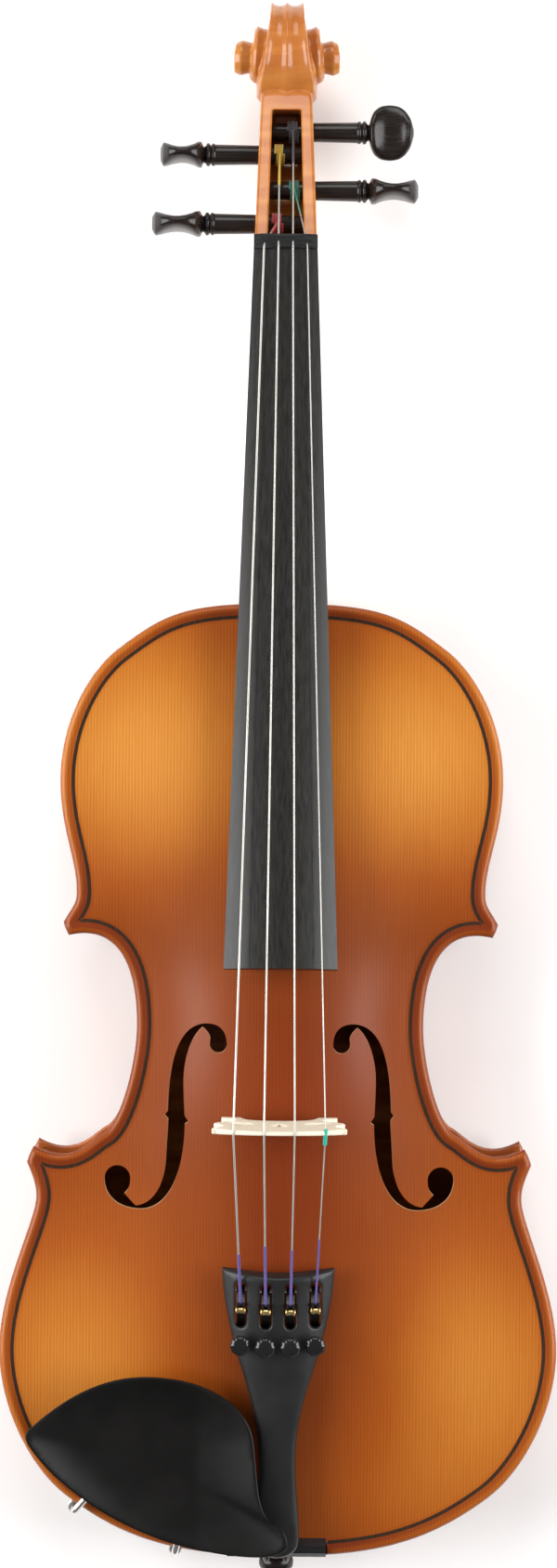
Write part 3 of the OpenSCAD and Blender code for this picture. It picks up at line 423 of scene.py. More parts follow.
# ---------------------------------------------------------------- materials
def spruce_varnish():
    """Varnished spruce: fine upright grain under a shaded varnish, clear gloss on top."""
    m = Mat("spruce_varnish", Roughness=0.42, IOR=1.5)
    m.bsdf.inputs["Specular IOR Level"].default_value = 0.12
    m.bsdf.inputs["Coat Weight"].default_value = 0.28
    m.bsdf.inputs["Coat Roughness"].default_value = 0.16
    wander = m.noise(m.place((30, 6, 30)), 1.0, 2)
    lines = m.add("TexWave", wave_type="BANDS", bands_direction="X", wave_profile="SAW",
                  in_Scale=0.26, in_Distortion=1.6, in_Detail=2.5)
    lines.inputs["Detail Scale"].default_value = 0.5
    m.links.new(m.place((1000, 24, 200)), lines.inputs["Vector"])
    fibre = m.noise(m.place((2600, 60, 300)), 1.0, 4, 0.6)
    grain = m.math("ADD", m.math("MULTIPLY", lines.outputs["Fac"], 0.55), m.math("MULTIPLY", fibre, 0.6))
    burst = m.attribute("burst")
    cloud = m.math("MULTIPLY", m.math("SUBTRACT", m.noise(m.place((16, 12, 16)), 1.0, 3), 0.5), 0.22)
    tone = m.ramp(m.math("ADD", burst, cloud), [
        (0.0, (0.60, 0.250, 0.040)), (0.3, (0.48, 0.162, 0.018)), (0.6, (0.335, 0.076, 0.005)),
        (1.0, (0.165, 0.022, 0.002))])
    dark = m.blend(1.0, tone, (0.72, 0.60, 0.50), "MULTIPLY")
    wood = m.blend(m.ramp(grain, [(0.32, 0.0), (0.95, 1.0)]), tone, dark)
    m.colour(m.blend(m.math("MULTIPLY", wander, 0.12), wood, (0.50, 0.14, 0.03)))
    m.bump(grain, 0.10, 0.00012)
    return m


def maple_varnish(name="maple_varnish", flame_axis="Y"):
    """Flamed maple under amber-red varnish; the flame crosses flame_axis."""
    m = Mat(name, Roughness=0.36, IOR=1.5)
    m.bsdf.inputs["Specular IOR Level"].default_value = 0.15
    m.bsdf.inputs["Coat Weight"].default_value = 0.5
    m.bsdf.inputs["Coat Roughness"].default_value = 0.13
    stretch = {"Y": (22, 150, 22), "X": (150, 22, 22), "Z": (22, 22, 150)}[flame_axis]
    flame = m.noise(m.place(stretch, (0.1, 0.05, 0.12)), 1.0, 2, 0.45, 0.6)
    pores = m.noise(m.place((900, 120, 900) if flame_axis != "X" else (120, 900, 900)), 1.0, 3, 0.6)
    tone = m.ramp(m.noise(m.place((9, 7, 9)), 1.0, 2), [
        (0.30, (0.46, 0.150, 0.028)), (0.55, (0.40, 0.105, 0.018)), (0.75, (0.28, 0.058, 0.011))])
    striped = m.blend(m.ramp(flame, [(0.36, 0.0), (0.62, 1.0)]), tone,
                      m.blend(1.0, tone, (0.62, 0.50, 0.42), "MULTIPLY"))
    m.colour(m.blend(m.math("MULTIPLY", m.ramp(pores, [(0.55, 0.0), (0.7, 1.0)]), 0.35), striped,
                     (0.16, 0.045, 0.012)))
    m.bump(pores, 0.06, 0.0001)
    return m


def neck_varnish():
    """The neck and scroll: orange-gold varnish over lightly flamed maple."""
    m = Mat("neck_varnish", Roughness=0.34, IOR=1.5)
    m.bsdf.inputs["Specular IOR Level"].default_value = 0.15
    m.bsdf.inputs["Coat Weight"].default_value = 0.6
    m.bsdf.inputs["Coat Roughness"].default_value = 0.12
    flame = m.noise(m.place((30, 170, 60), (0.2, 0, 0.1)), 1.0, 2, 0.45, 0.4)
    pores = m.noise(m.place((900, 90, 900)), 1.0, 3, 0.6)
    base = m.ramp(flame, [(0.35, (0.58, 0.235, 0.050)), (0.62, (0.44, 0.140, 0.026))])
    worn = m.ramp(m.noise(m.place((40, 25, 40)), 1.0, 3), [(0.35, 0.0), (0.75, 0.55)])
    m.colour(m.blend(m.math("MULTIPLY", pores, 0.22), m.blend(worn, base, (0.36, 0.095, 0.018)),
                     (0.20, 0.06, 0.015)))
    m.bump(pores, 0.06, 0.0001)
    return m


def bare_wood(name, light, dark, along="Y", grain=1400):
    m = Mat(name, Roughness=0.62)
    stretch = {"Y": (grain, 40, grain), "X": (40, grain, grain), "Z": (grain, grain, 40)}[along]
    fibre = m.noise(m.place(stretch), 1.0, 4, 0.6)
    flecks = m.noise(m.place(tuple(s * 0.25 for s in stretch)), 1.0, 2)
    tone = m.ramp(fibre, [(0.3, light), (0.75, dark)])
    m.colour(m.blend(m.math("MULTIPLY", flecks, 0.25), tone, dark))
    m.bump(fibre, 0.12, 0.00015)
    return m


def black_wood(name, tint=(0.012, 0.012, 0.013), sheen=(0.032, 0.031, 0.031), rough=0.36, along="Y"):
    """Stained hardwood: near-black with a faint open grain."""
    m = Mat(name, IOR=1.5)
    stretch = {"Y": (1500, 45, 1500), "X": (45, 1500, 1500)}[along]
    fibre = m.noise(m.place(stretch), 1.0, 4, 0.6)
    m.colour(m.ramp(fibre, [(0.35, tint), (0.75, sheen)]))
    m.roughness(m.ramp(fibre, [(0.3, rough - 0.06), (0.8, rough + 0.12)]))
    m.bump(fibre, 0.10, 0.00012)
    return m


def moulded(name, colour, rough=0.45, coarse=2200):
    m = Mat(name, IOR=1.5)
    grit = m.noise(m.place((coarse, coarse, coarse)), 1.0, 3, 0.6)
    haze = m.noise(m.place((60, 60, 60)), 1.0, 3)
    m.colour(m.ramp(haze, [(0.3, colour), (0.8, tuple(c * 1.6 for c in colour))]))
    m.roughness(m.ramp(haze, [(0.3, rough - 0.05), (0.8, rough + 0.08)]))
    m.bump(grit, 0.12, 0.00006)
    return m


def metal(name, colour, rough=0.25, along=(900, 900, 60)):
    m = Mat(name, Metallic=1.0)
    brush = m.noise(m.place(along), 1.0, 3, 0.6)
    tarnish = m.noise(m.place((120, 120, 120)), 1.0, 3)
    m.colour(m.ramp(tarnish, [(0.35, colour), (0.85, tuple(c * 0.72 for c in colour))]))
    m.roughness(m.ramp(brush, [(0.3, rough), (0.8, rough + 0.14)]))
    m.bump(brush, 0.05, 0.00005)
    return m


def wound_string(name, colour, rough=0.32):
    """Flat-wound wire: fine rings across the string."""
    m = Mat(name, Metallic=0.85)
    rings = m.add("TexWave", wave_type="BANDS", bands_direction="Y", in_Scale=0.31)
    m.links.new(m.place((1, 8000, 1)), rings.inputs["Vector"])
    smear = m.noise(m.place((200, 30, 200)), 1.0, 3)
    m.colour(m.ramp(smear, [(0.3, colour), (0.8, tuple(c * 0.8 for c in colour))]))
    m.roughness(m.ramp(smear, [(0.3, rough), (0.8, rough + 0.15)]))
    m.bump(rings.outputs["Fac"], 0.25, 0.00004)
    return m


def silk_thread(name, colour):
    m = Mat(name, Roughness=0.55)
    m.bsdf.inputs["Sheen Weight"].default_value = 0.4
    turns = m.add("TexWave", wave_type="BANDS", bands_direction="DIAGONAL", in_Scale=0.35, in_Distortion=0.4)
    m.links.new(m.place((1500, 5200, 1500)), turns.inputs["Vector"])
    # Painted shade: each turn's colour darkens towards the groove beside it, following the bump's bands.
    m.colour(m.ramp(turns.outputs["Fac"], [(0.2, tuple(c * 0.55 for c in colour)), (0.7, colour)]))
    m.bump(turns.outputs["Fac"], 0.5, 0.0001)
    return m


def cork_material():
    m = Mat("cork", Roughness=0.85)
    cells = m.add("TexVoronoi", in_Scale=1.0)
    m.links.new(m.place((900, 900, 900)), cells.inputs["Vector"])
    m.colour(m.ramp(cells.outputs["Distance"], [(0.1, (0.30, 0.16, 0.07)), (0.6, (0.56, 0.36, 0.19))]))
    m.bump(cells.outputs["Distance"], 0.4, 0.0003)
    return m


SPRUCE = spruce_varnish()
MAPLE = maple_varnish()
RIB_MAPLE = maple_varnish("rib_maple", "X")
C_RIB_MAPLE = maple_varnish("centre_rib_maple", "Y")
NECK = neck_varnish()
F_EDGE = bare_wood("sound_hole_edge", (0.78, 0.56, 0.34), (0.55, 0.34, 0.17), "Y")
INSIDE = bare_wood("bare_spruce", (0.62, 0.44, 0.25), (0.48, 0.31, 0.16), "Y")
BRIDGE_WOOD = bare_wood("bridge_maple", (0.83, 0.77, 0.62), (0.70, 0.61, 0.46), "X", 1800)
BOARD = black_wood("fingerboard_black", (0.010, 0.0095, 0.009), (0.024, 0.023, 0.021), 0.36)
NUT_BLACK = black_wood("nut_black", (0.008, 0.008, 0.008), (0.02, 0.02, 0.02), 0.30, "X")
PEG_WOOD = black_wood("peg_wood", (0.008, 0.006, 0.0055), (0.020, 0.013, 0.011), 0.22, "X")
COMPOSITE = moulded("tailpiece_black", (0.012, 0.012, 0.012), 0.36)
CHIN_BLACK = moulded("chinrest_black", (0.004, 0.0036, 0.0034), 0.42)
KNOB_BLACK = moulded("knob_black", (0.006, 0.006, 0.006), 0.14, 1500)
NICKEL = metal("nickel", (0.78, 0.77, 0.75), 0.16)
DARK_STEEL = metal("dark_steel", (0.06, 0.06, 0.062), 0.30)
BRASS = metal("ball_brass", (0.83, 0.60, 0.25), 0.22)
GUT = moulded("tailgut_black", (0.012, 0.012, 0.012), 0.35)
CORK = cork_material()
STAIN_BLACK = bare_wood("purfling_black", (0.020, 0.010, 0.006), (0.045, 0.022, 0.010), "Y")
STAIN_LIGHT = bare_wood("purfling_light", (0.20, 0.075, 0.016), (0.13, 0.045, 0.010), "Y")
for black in (BOARD, COMPOSITE, PEG_WOOD, GUT, NUT_BLACK):
    black.bsdf.inputs["Specular IOR Level"].default_value = 0.32
CHIN_BLACK.bsdf.inputs["Specular IOR Level"].default_value = 0.16
for black in (STAIN_BLACK, STAIN_LIGHT):
    black.bsdf.inputs["Specular IOR Level"].default_value = 0.1
    black.bsdf.inputs["Coat Weight"].default_value = 0.15
    black.bsdf.inputs["Coat Roughness"].default_value = 0.15
WIRE = wound_string("string_wire", (0.50, 0.49, 0.45))
SLEEVE_GREEN = moulded("sleeve_green", (0.02, 0.36, 0.27), 0.35)


# ---------------------------------------------------------------- plates
NOTCH_NECK = (15.4, 350.5)
SADDLE_HALF, SADDLE_D = 18.5, 7.0
RING_OFFSETS = (0.25, 0.8, 1.7, 2.4, 3.4, 4.6, 5.6, 7.0)


def notched_outline():
    """The top's outline with the saddle's notch and the neck's mortise cut into it."""
    loop = []
    for p in OUTLINE:
        if p.y > 340 and abs(p.x) < NOTCH_NECK[0] or p.y < 20 and abs(p.x) < SADDLE_HALF:
            continue
        loop.append(p)
    right = min((i for i in range(len(loop)) if loop[i].y < 20 and loop[i].x > 0), key=lambda i: loop[i].x)
    sad = [Vector((SADDLE_HALF, loop[right].y)), Vector((SADDLE_HALF, SADDLE_D)),
           Vector((-SADDLE_HALF, SADDLE_D)), Vector((-SADDLE_HALF, loop[right].y))]
    neck = [Vector((-NOTCH_NECK[0], 356.2)), Vector((-NOTCH_NECK[0], NOTCH_NECK[1])),
            Vector(NOTCH_NECK), Vector((NOTCH_NECK[0], 356.2))]
    return loop[:right + 1] + sad + loop[right + 1:] + neck


def plate_points(loops):
    """Places for the plate's vertices: rings along the edge and a grid inside."""
    places = []
    for d in RING_OFFSETS:
        run = set_in(walk(HALF_CURVES, 1.3), d)
        ring = np.array([(p.x, p.y) for p in run + mirrored(run)])
        places.append(ring[edge_distance(ring) > d - 0.04])
    grid = 2.6
    gx, gy = np.meshgrid(np.arange(-104, 104.1, grid), np.arange(0, 357, grid))
    gx = gx + (np.arange(gx.shape[0]) % 2)[:, None] * grid / 2
    xy = np.stack([gx.ravel(), gy.ravel()], 1)
    xy = xy[inside(xy, OUTLINE)]
    places.append(xy[edge_distance(xy) > 8.3])
    xy = np.concatenate(places)
    keep = inside(xy, loops[0])
    for hole in loops[1:]:
        keep &= ~inside(xy, hole)
    for loop in loops:
        lp = np.array([(p[0], p[1]) for p in loop])
        near = np.array([np.min(((lp - q) ** 2).sum(1)) for q in xy])
        keep &= near > 0.45 ** 2
    return [Vector(p) for p in xy[keep]]


def burst_shade(xy, d):
    """How dark the varnish is: deep in the middle and at the rim, honey in the outer bouts."""
    x, y = np.abs(xy[:, 0]), xy[:, 1]

    def glow(cx, cy, rx, ry):
        return np.exp(-(((x - cx) / rx) ** 2 + ((y - cy) / ry) ** 2))

    light = 0.72 * glow(74, 70, 36, 46) + 0.95 * glow(50, 300, 46, 44) + 0.25 * glow(44, 22, 36, 26)
    light = np.clip(light, 0, 1)
    shade = 0.78 - 0.80 * light + 0.22 * glow(0, 150, 34, 110) + 0.10 * glow(75, 236, 34, 22)
    rim = np.clip((BORDER + 0.6 - d) / 2.2, 0, 1)
    crest = np.exp(-((d - 1.2) / 1.3) ** 2)
    return np.clip(shade + rim * (0.34 + 0.12 * light) - 0.42 * crest, 0, 1)


def plate(name, node, arch, thickness, sign, base, loops, mats, slot, shade):
    """The top or back: arched outside and in, with its varnish shading stored at each point."""
    places = [p for loop in loops for p in loop]
    edges, start = [], 0
    for loop in loops:
        n = len(loop)
        edges += [(start + i, start + (i + 1) % n) for i in range(n)]
        start += n
    places += plate_points(loops)
    verts, _, tris, *_ = geometry.delaunay_2d_cdt([Vector(p) for p in places], edges, [], 1, 1e-5)
    xy = np.array([(v.x, v.y) for v in verts])
    centres = np.array([xy[list(t)].mean(0) for t in tris])
    keep = inside(centres, loops[0])
    for hole in loops[1:]:
        keep &= ~inside(centres, hole)
    tris = [t for t, k in zip(tris, keep) if k]
    d = edge_distance(xy)
    high = surface(xy, d, arch)
    low = underside(xy, d, arch, thickness) + np.interp(d, [0, 0.3, 1.0], [1.5, 0.5, 0.0])
    n = len(xy)
    points = [(p[0], p[1], base + sign * h) for p, h in zip(xy, high)]
    points += [(p[0], p[1], base + sign * h) for p, h in zip(xy, low)]
    faces = [tuple(t) for t in tris] + [tuple(n + i for i in reversed(t)) for t in tris]
    sides = dict.fromkeys(pair for t in tris for pair in zip(t, [*t[1:], t[0]]))
    faces += [(b, a, n + a, n + b) for a, b in sides if (b, a) not in sides]
    obj = new_object(name, points, faces, slot=slot, angle=50)
    paint(obj, *mats)
    back = violin_coords(obj)
    dist = edge_distance(back[:, :2])
    set_float(obj, "burst", shade(back[:, :2], dist))
    if len(mats) > 1:
        centres = [TO_ROW.inverted() @ p.center for p in obj.data.polygons]
        flat = np.array([abs(p.normal.z) < 0.5 for p in obj.data.polygons])
        far = edge_distance(np.array([(c.x, c.y) for c in centres])) > 9
        obj.data.polygons.foreach_set("material_index", (flat & far).astype(np.int32))
        obj.data.update()
    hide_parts(node)


def plain_shade(xy, d):
    crest = np.exp(-((d - 1.2) / 1.3) ** 2)
    return np.clip(0.55 - 0.35 * crest, 0, 1)


plate("top", "top_plate", TOP_ARCH, 3.0, 1, RIB_H,
      [notched_outline(), F_HOLE, mirrored(F_HOLE)], [SPRUCE, F_EDGE], "spruce_varnish", burst_shade)


def back_outline():
    """The back's outline runs out into the round button under the heel."""
    button_r = 10.8
    reach = [Vector((button_r * math.sin(math.radians(a)), BODY_L + 1 + button_r * math.cos(math.radians(a))))
             for a in np.linspace(-92, 92, 24)]
    loop = [p for p in OUTLINE if not (p.y > 340 and abs(p.x) < button_r + 0.6)]
    return loop + reach


plate("back", "back_plate", BACK_ARCH, 3.5, -1, 0.0, [back_outline()], [MAPLE], "maple_varnish", plain_shade)


# ---------------------------------------------------------------- ribs
def resample(points, n):
    lengths = np.cumsum([0] + [(b - a).length for a, b in zip(points, points[1:])])
    xs = np.interp(np.linspace(0, lengths[-1], n), lengths, [p.x for p in points])
    ys = np.interp(np.linspace(0, lengths[-1], n), lengths, [p.y for p in points])
    return [Vector(p) for p in zip(xs, ys)]


def bout_run(bout, d, step=0.5, slack=0.02):
    """A bout's outline moved in by d, ended where it meets its neighbour's."""
    run = set_in(walk(HALF_CURVES[bout[0]:bout[1]], step), d)
    dist = edge_distance(np.array([(p.x, p.y) for p in run]))
    return [p for p, q in zip(run, dist) if q > d - slack]


def rib(name, bout, side, mat):
    outer, inner = bout_run(bout, OVERHANG), bout_run(bout, OVERHANG + RIB_T)
    if bout == UPPER_BOUT:
        outer, inner = [p for p in outer if p.x > 9], [p for p in inner if p.x > 9]
    n = max(12, round(sum((b - a).length for a, b in zip(outer, outer[1:])) / 1.6))
    outer, inner = resample(outer, n), resample(inner, n)
    if side < 0:
        outer, inner = mirrored(outer), mirrored(inner)
    section = [(outer, 0.0), (outer, RIB_H), (inner, RIB_H), (inner, 0.0)]
    verts = [(run[i].x, run[i].y, z) for i in range(n) for run, z in section]
    faces = [(4 * i + k, 4 * i + (k + 1) % 4, 4 * i + 4 + (k + 1) % 4, 4 * i + 4 + k)
             for i in range(n - 1) for k in range(4)]
    faces += [(3, 2, 1, 0), (4 * n - 4, 4 * n - 3, 4 * n - 2, 4 * n - 1)]
    obj = new_object(name, verts, faces, slot="maple_varnish")
    paint(obj, mat)
    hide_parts(name.replace("side_", "rib_"))


for word, bout, mat in (("upper", UPPER_BOUT, RIB_MAPLE), ("centre", CENTRE_BOUT, C_RIB_MAPLE),
                        ("lower", LOWER_BOUT, RIB_MAPLE)):
    for hand, side in (("treble", 1), ("bass", -1)):
        rib(f"side_{word}_{hand}", bout, side, mat)


# ---------------------------------------------------------------- purfling
PURF = (4.2, 4.55, 5.15, 5.5)


def purfling():
    """Three thin strips let into each plate's edge, mitred at the corners."""
    verts, faces, mats = [], [], []
    for sign, base, arch, keep in ((1, RIB_H, TOP_ARCH, 18.7), (-1, 0.0, BACK_ARCH, -1)):
        for bout in (UPPER_BOUT, CENTRE_BOUT, LOWER_BOUT):
            columns = [[p for p in bout_run(bout, d) if not (p.y < 20 and p.x < keep)] for d in PURF]
            n = round(sum((b - a).length for a, b in zip(columns[0], columns[0][1:])) / 1.4)
            columns = [resample(c, n) for c in columns]
            for side in (1, -1):
                start = len(verts)
                for i in range(n):
                    xy = np.array([(c[i].x, c[i].y) for c in columns])
                    z = surface(xy, np.array(PURF), arch)
                    row = [(xy[0], z[0] - 0.5)] + [(q, h + 0.03) for q, h in zip(xy, z)] + [(xy[3], z[3] - 0.5)]
                    verts += [(side * q[0], q[1], base + sign * h) for q, h in row]
                for i in range(n - 1):
                    for k in range(6):
                        a, b = start + 6 * i + k, start + 6 * i + (k + 1) % 6
                        faces.append((a, b, b + 6, a + 6))
                        mats.append(1 if k == 2 else 0)
                faces += [tuple(start + k for k in range(5, -1, -1)),
                          tuple(start + 6 * (n - 1) + k for k in range(6))]
                mats += [0, 0]
    mesh = bpy.data.meshes.new("purfling_strips")
    mesh.from_pydata(verts, [], faces)
    mesh.polygons.foreach_set("material_index", mats)
    mesh.transform(TO_ROW)
    obj = bpy.data.objects.new("purfling_strips", mesh)
    bpy.context.scene.collection.objects.link(obj)
    finish_mesh(obj, 50)
    paint(obj, STAIN_BLACK, STAIN_LIGHT)
    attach(obj, "corpus")
    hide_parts("purfling")


purfling()


# ---------------------------------------------------------------- shape builders
def loft_mesh(sections, closed=True):
    """Vertices and faces of a skin through rings with the same number of points, ends capped."""
    n = len(sections[0])
    verts = [tuple(p) for s in sections for p in s]
    faces = [(k * n + i, k * n + (i + 1) % n, (k + 1) * n + (i + 1) % n, (k + 1) * n + i)
             for k in range(len(sections) - 1) for i in range(n)]
    if closed:
        faces += [tuple(range(n - 1, -1, -1)), tuple((len(sections) - 1) * n + i for i in range(n))]
    return verts, faces


def outward(mesh):
    """Turn every face of a closed mesh to look outwards."""
    bm = bmesh.new()
    bm.from_mesh(mesh)
    bmesh.ops.recalc_face_normals(bm, faces=bm.faces)
    bm.to_mesh(mesh)
    bm.free()


def join_parts(parts):
    """One list of vertices and faces out of several."""
    verts, faces = [], []
    for v, f in parts:
        faces += [tuple(i + len(verts) for i in face) for face in f]
        verts += list(v)
    return verts, faces


def remesh(obj, size, rounds, factor=0.5):
    """Fuse overlapping shells into one skin and soften it."""
    bpy.context.view_layer.objects.active = obj
    mod = obj.modifiers.new("fuse", "REMESH")
    mod.mode = "VOXEL"
    mod.voxel_size = size / 1000
    mod.adaptivity = 0
    soft = obj.modifiers.new("soften", "SMOOTH")
    soft.iterations, soft.factor = rounds, factor
    apply_modifiers(obj)
    finish_mesh(obj, 50)


def circle(r, z, steps, x=0, y=0):
    return [(x + r * math.cos(2 * math.pi * k / steps), y + r * math.sin(2 * math.pi * k / steps), z)
            for k in range(steps)]


def capped(low, rings, high):
    """Skin over rings of points, closed by one point at each end."""
    n = len(rings[0])
    verts = [low] + [p for ring in rings for p in ring] + [high]
    faces = [(0, 1 + (k + 1) % n, 1 + k) for k in range(n)]
    for j in range(len(rings) - 1):
        a, b = 1 + j * n, 1 + (j + 1) * n
        faces += [(a + k, a + (k + 1) % n, b + (k + 1) % n, b + k) for k in range(n)]
    a = 1 + (len(rings) - 1) * n
    return verts, faces + [(a + k, a + (k + 1) % n, len(verts) - 1) for k in range(n)]


def lathe(profile, steps=64):
    """Solid of revolution about z from (radius, z) pairs; the first and last lie on the axis."""
    rings = [circle(r, z, steps) for r, z in profile[1:-1]]
    return capped((0, 0, profile[0][1]), rings, (0, 0, profile[-1][1]))


def bored_lathe(profile, steps, x=0, y=0):
    """Ring about an upright axis, from (radius, z) pairs that go all round its section."""
    n = len(profile)
    verts = [p for r, z in profile for p in circle(r, z, steps, x, y)]
    faces = [(j * steps + k, j * steps + (k + 1) % steps, (j + 1) % n * steps + (k + 1) % steps,
              (j + 1) % n * steps + k) for j in range(n) for k in range(steps)]
    return verts, faces


def tube(path, radius, sides=16):
    """Round rod along a path of points, with flat ends; radius may be one number or one each."""
    path = [Vector(p) for p in path]
    radii = radius if isinstance(radius, (list, tuple)) else [radius] * len(path)
    rings, side = [], None
    for i, p in enumerate(path):
        t = (path[min(i + 1, len(path) - 1)] - path[max(i - 1, 0)]).normalized()
        if side is None:
            side = t.cross(Vector((0.13, 0.21, 0.97))).normalized()
        side = (side - side.dot(t) * t).normalized()
        up = t.cross(side)
        rings.append([tuple(p + radii[i] * (math.cos(2 * math.pi * k / sides) * side
                                            + math.sin(2 * math.pi * k / sides) * up)) for k in range(sides)])
    return loft_mesh(rings)


def bend(points, radius, steps=6):
    """A path with each inner corner rounded."""
    points = [Vector(p) for p in points]
    out = [points[0]]
    for a, b, c in zip(points, points[1:], points[2:]):
        r = min(radius, (b - a).length * 0.45, (c - b).length * 0.45)
        p, q = b + (a - b).normalized() * r, b + (c - b).normalized() * r
        for k in range(steps + 1):
            t = k / steps
            out.append((1 - t) ** 2 * p + 2 * t * (1 - t) * b + t * t * q)
    out.append(points[-1])
    return out


def place_at(verts, matrix):
    return [tuple(matrix @ Vector(v)) for v in verts]


# ---------------------------------------------------------------- neck, pegbox and scroll
BOARD_R, BOARD_L, BOARD_TOP, BOARD_EDGE = 42.0, 270.0, 33.2, 4.5
BOARD_SLOPE = math.radians(7)
NUT_W, END_W = 24.0, 42.0


def sag(w):
    return BOARD_R - math.sqrt(BOARD_R ** 2 - w * w / 4)


def board_under(y):
    run = (NUT_Y - y) / math.cos(BOARD_SLOPE)
    deep = BOARD_EDGE + mix(sag(NUT_W), sag(END_W), run / BOARD_L)
    return BOARD_TOP + (NUT_Y - y) * math.tan(BOARD_SLOPE) - deep / math.cos(BOARD_SLOPE)


NECK_LOW = [(356, 0.05), (364, 0.05), (367.2, 0.3), (368.6, 2.6), (369.8, 6.8), (372, 13), (374.4, 16.9),
            (377.5, 20), (381, 22.3), (386, 24), (393, 24.9), (400, 24.9), (410, 24.3), (489.6, 14.6)]


def neck_section(y, count=40):
    high, low = board_under(y) - 0.06, lookup(y, NECK_LOW)
    top = mix(NUT_W, END_W, (NUT_Y - y) / BOARD_L) / 2 - 0.1
    heel = lookup(y, [(356, 1), (376, 0.7), (400, 0)])
    flat = lookup(y, [(370, 0.35), (395, 1)])
    ring = []
    for i in range(count + 1):
        a = math.pi * i / count
        share = math.sin(a)
        half = top * (1 - 0.36 * heel * share ** 2)
        x = half * math.copysign(abs(math.cos(a)) ** mix(0.25, 0.8, flat), math.cos(a))
        ring.append((x, y, high - (high - low) * share ** mix(0.5, 0.85, flat)))
    return ring


SCROLL = (567.0, -3.5)
SCROLL_START, SCROLL_STRETCH = math.radians(262), 1.15
BOX_BACK = [(484, 15.1), (487, 13.5), (491, 8.2), (496, 4.2), (503, 1.2), (515, -3.2), (530, -9),
            (545, -16), (556, -21.8), (562, -23.8), (566, -24.3)]


def box_front(y):
    return 28.4 - (y - NUT_Y) * 0.36


def box_half(y):
    return mix(11.9, 9.9, (y - NUT_Y) / 58)


def box_inner(y):
    return mix(6.9, 5.4, (y - NUT_Y) / 58)


def box_section(y):
    """Across the pegbox: flat rims in front, a ridge and two flutes down its back."""
    w = NUT_W / 2 - 0.1 if y < NUT_Y else box_half(y)
    w = min(w, lookup(y, [(549, 30), (550, 9.8), (563.5, 7.2)]))
    high = board_under(NUT_Y) - 0.9 if y < NUT_Y + 5.5 else box_front(y)
    high = min(high, lookup(y, [(546, 60), (549, 7.2), (553, 5), (557, 0), (563.5, -8)]))
    low = lookup(y, BOX_BACK)
    flute = lookup(y, [(487, 0), (500, 0.4), (515, 1.0), (566, 1.5)])
    ring = [(w - 0.7, y, high), (-w + 0.7, y, high), (-w, y, high - 0.7)]
    round_off = lookup(y, [(484, 5.5), (500, 4), (520, 2.2), (545, 1.2)])
    ring += [(-w, y, low + round_off)]
    for i in range(17):
        u = -1 + i / 8
        edge = max(0.0, abs(u) - 0.86) / 0.14
        z = (low + flute * math.sin(math.pi * min(1, abs(u) / 0.92)) ** 1.3 * (1 - edge)
             + round_off * edge ** 2 * 0.8)
        ring.append((u * (w - 0.25), y, z))
    return ring + [(w, y, low + round_off), (w, y, high - 0.7)]


SPIRAL_R = [(0, 21), (0.27, 19), (0.5, 17), (0.77, 14.6), (1, 12.8), (1.27, 10.9), (2, 7.3), (2.3, 6.1),
            (3, 5.6)]
SPIRAL_W = [(0, 7.2), (0.27, 6.7), (0.4, 7), (0.52, 8.6), (0.62, 10.6), (0.77, 11.8), (1, 12.1), (1.3, 12.7),
            (1.8, 14.2), (2, 15.6), (2.25, 19.2), (2.5, 20.1), (3, 20.2)]


def cam(turn, steps=72):
    """One turn of the volute: a disc whose rim follows the spiral, with a fluted rim."""
    rings, n = [], 0
    for i in range(steps):
        s = turn + i / steps
        a = SCROLL_START + 2 * math.pi * i / steps
        r, w = lookup(s, SPIRAL_R), lookup(s, SPIRAL_W)
        inner = lookup(min(3, s + 1), SPIRAL_R) if turn < 2 else 3.0
        half = [(0.0, 0.3)]
        for u in (0.25, 0.5, 0.72):
            half.append((u, 0.3 + 1.1 * math.sin(math.pi * (u / 0.88) ** 0.9)))
        half.append((0.88, 0.12))
        rim = [(-u * w, r - d) for u, d in reversed(half)] + [(u * w, r - d) for u, d in half[1:]]
        sides = []
        for v in (0.08, 0.35, 0.7, 1.0):
            rr = mix(r - 0.9, max(inner, 0.5), v)
            sides.append((w - (0.9 * math.sin(math.pi * v) if turn < 2 else -0.15 * v), rr))
        profile = [(-x, q) for x, q in reversed(sides)] + rim + sides
        n = len(profile)
        rings.append([(x, SCROLL[0] + SCROLL_STRETCH * q * math.cos(a), SCROLL[1] + q * math.sin(a))
                      for x, q in profile])
    verts = [p for ring in rings for p in ring]
    faces = [(k * n + i, k * n + i + 1, ((k + 1) % steps) * n + i + 1, ((k + 1) % steps) * n + i)
             for k in range(steps) for i in range(n - 1)]
    w_mid = lookup(turn + 0.5, SPIRAL_W) if turn < 2 else 20.3
    verts += [(-w_mid, SCROLL[0], SCROLL[1]), (w_mid, SCROLL[0], SCROLL[1])]
    top = len(verts)
    faces += [(k * n, ((k + 1) % steps) * n, top - 2) for k in range(steps)]
    faces += [(((k + 1) % steps) * n + n - 1, k * n + n - 1, top - 1) for k in range(steps)]
    return verts, faces


PEG_Y = (500.8, 528.6, 538.0, 514.3)
PEG_SIDE = (-1, -1, 1, 1)
PEG_D = 6.9


def peg_z(i):
    y = PEG_Y[i]
    return (box_front(y) + lookup(y, [(x, z) for x, z in BOX_BACK])) / 2 + 2


def cylinder_between(name, a, b, radius):
    verts, faces = tube([a, b], radius, 40)
    obj = new_object(name, verts, faces)
    outward(obj.data)
    return obj


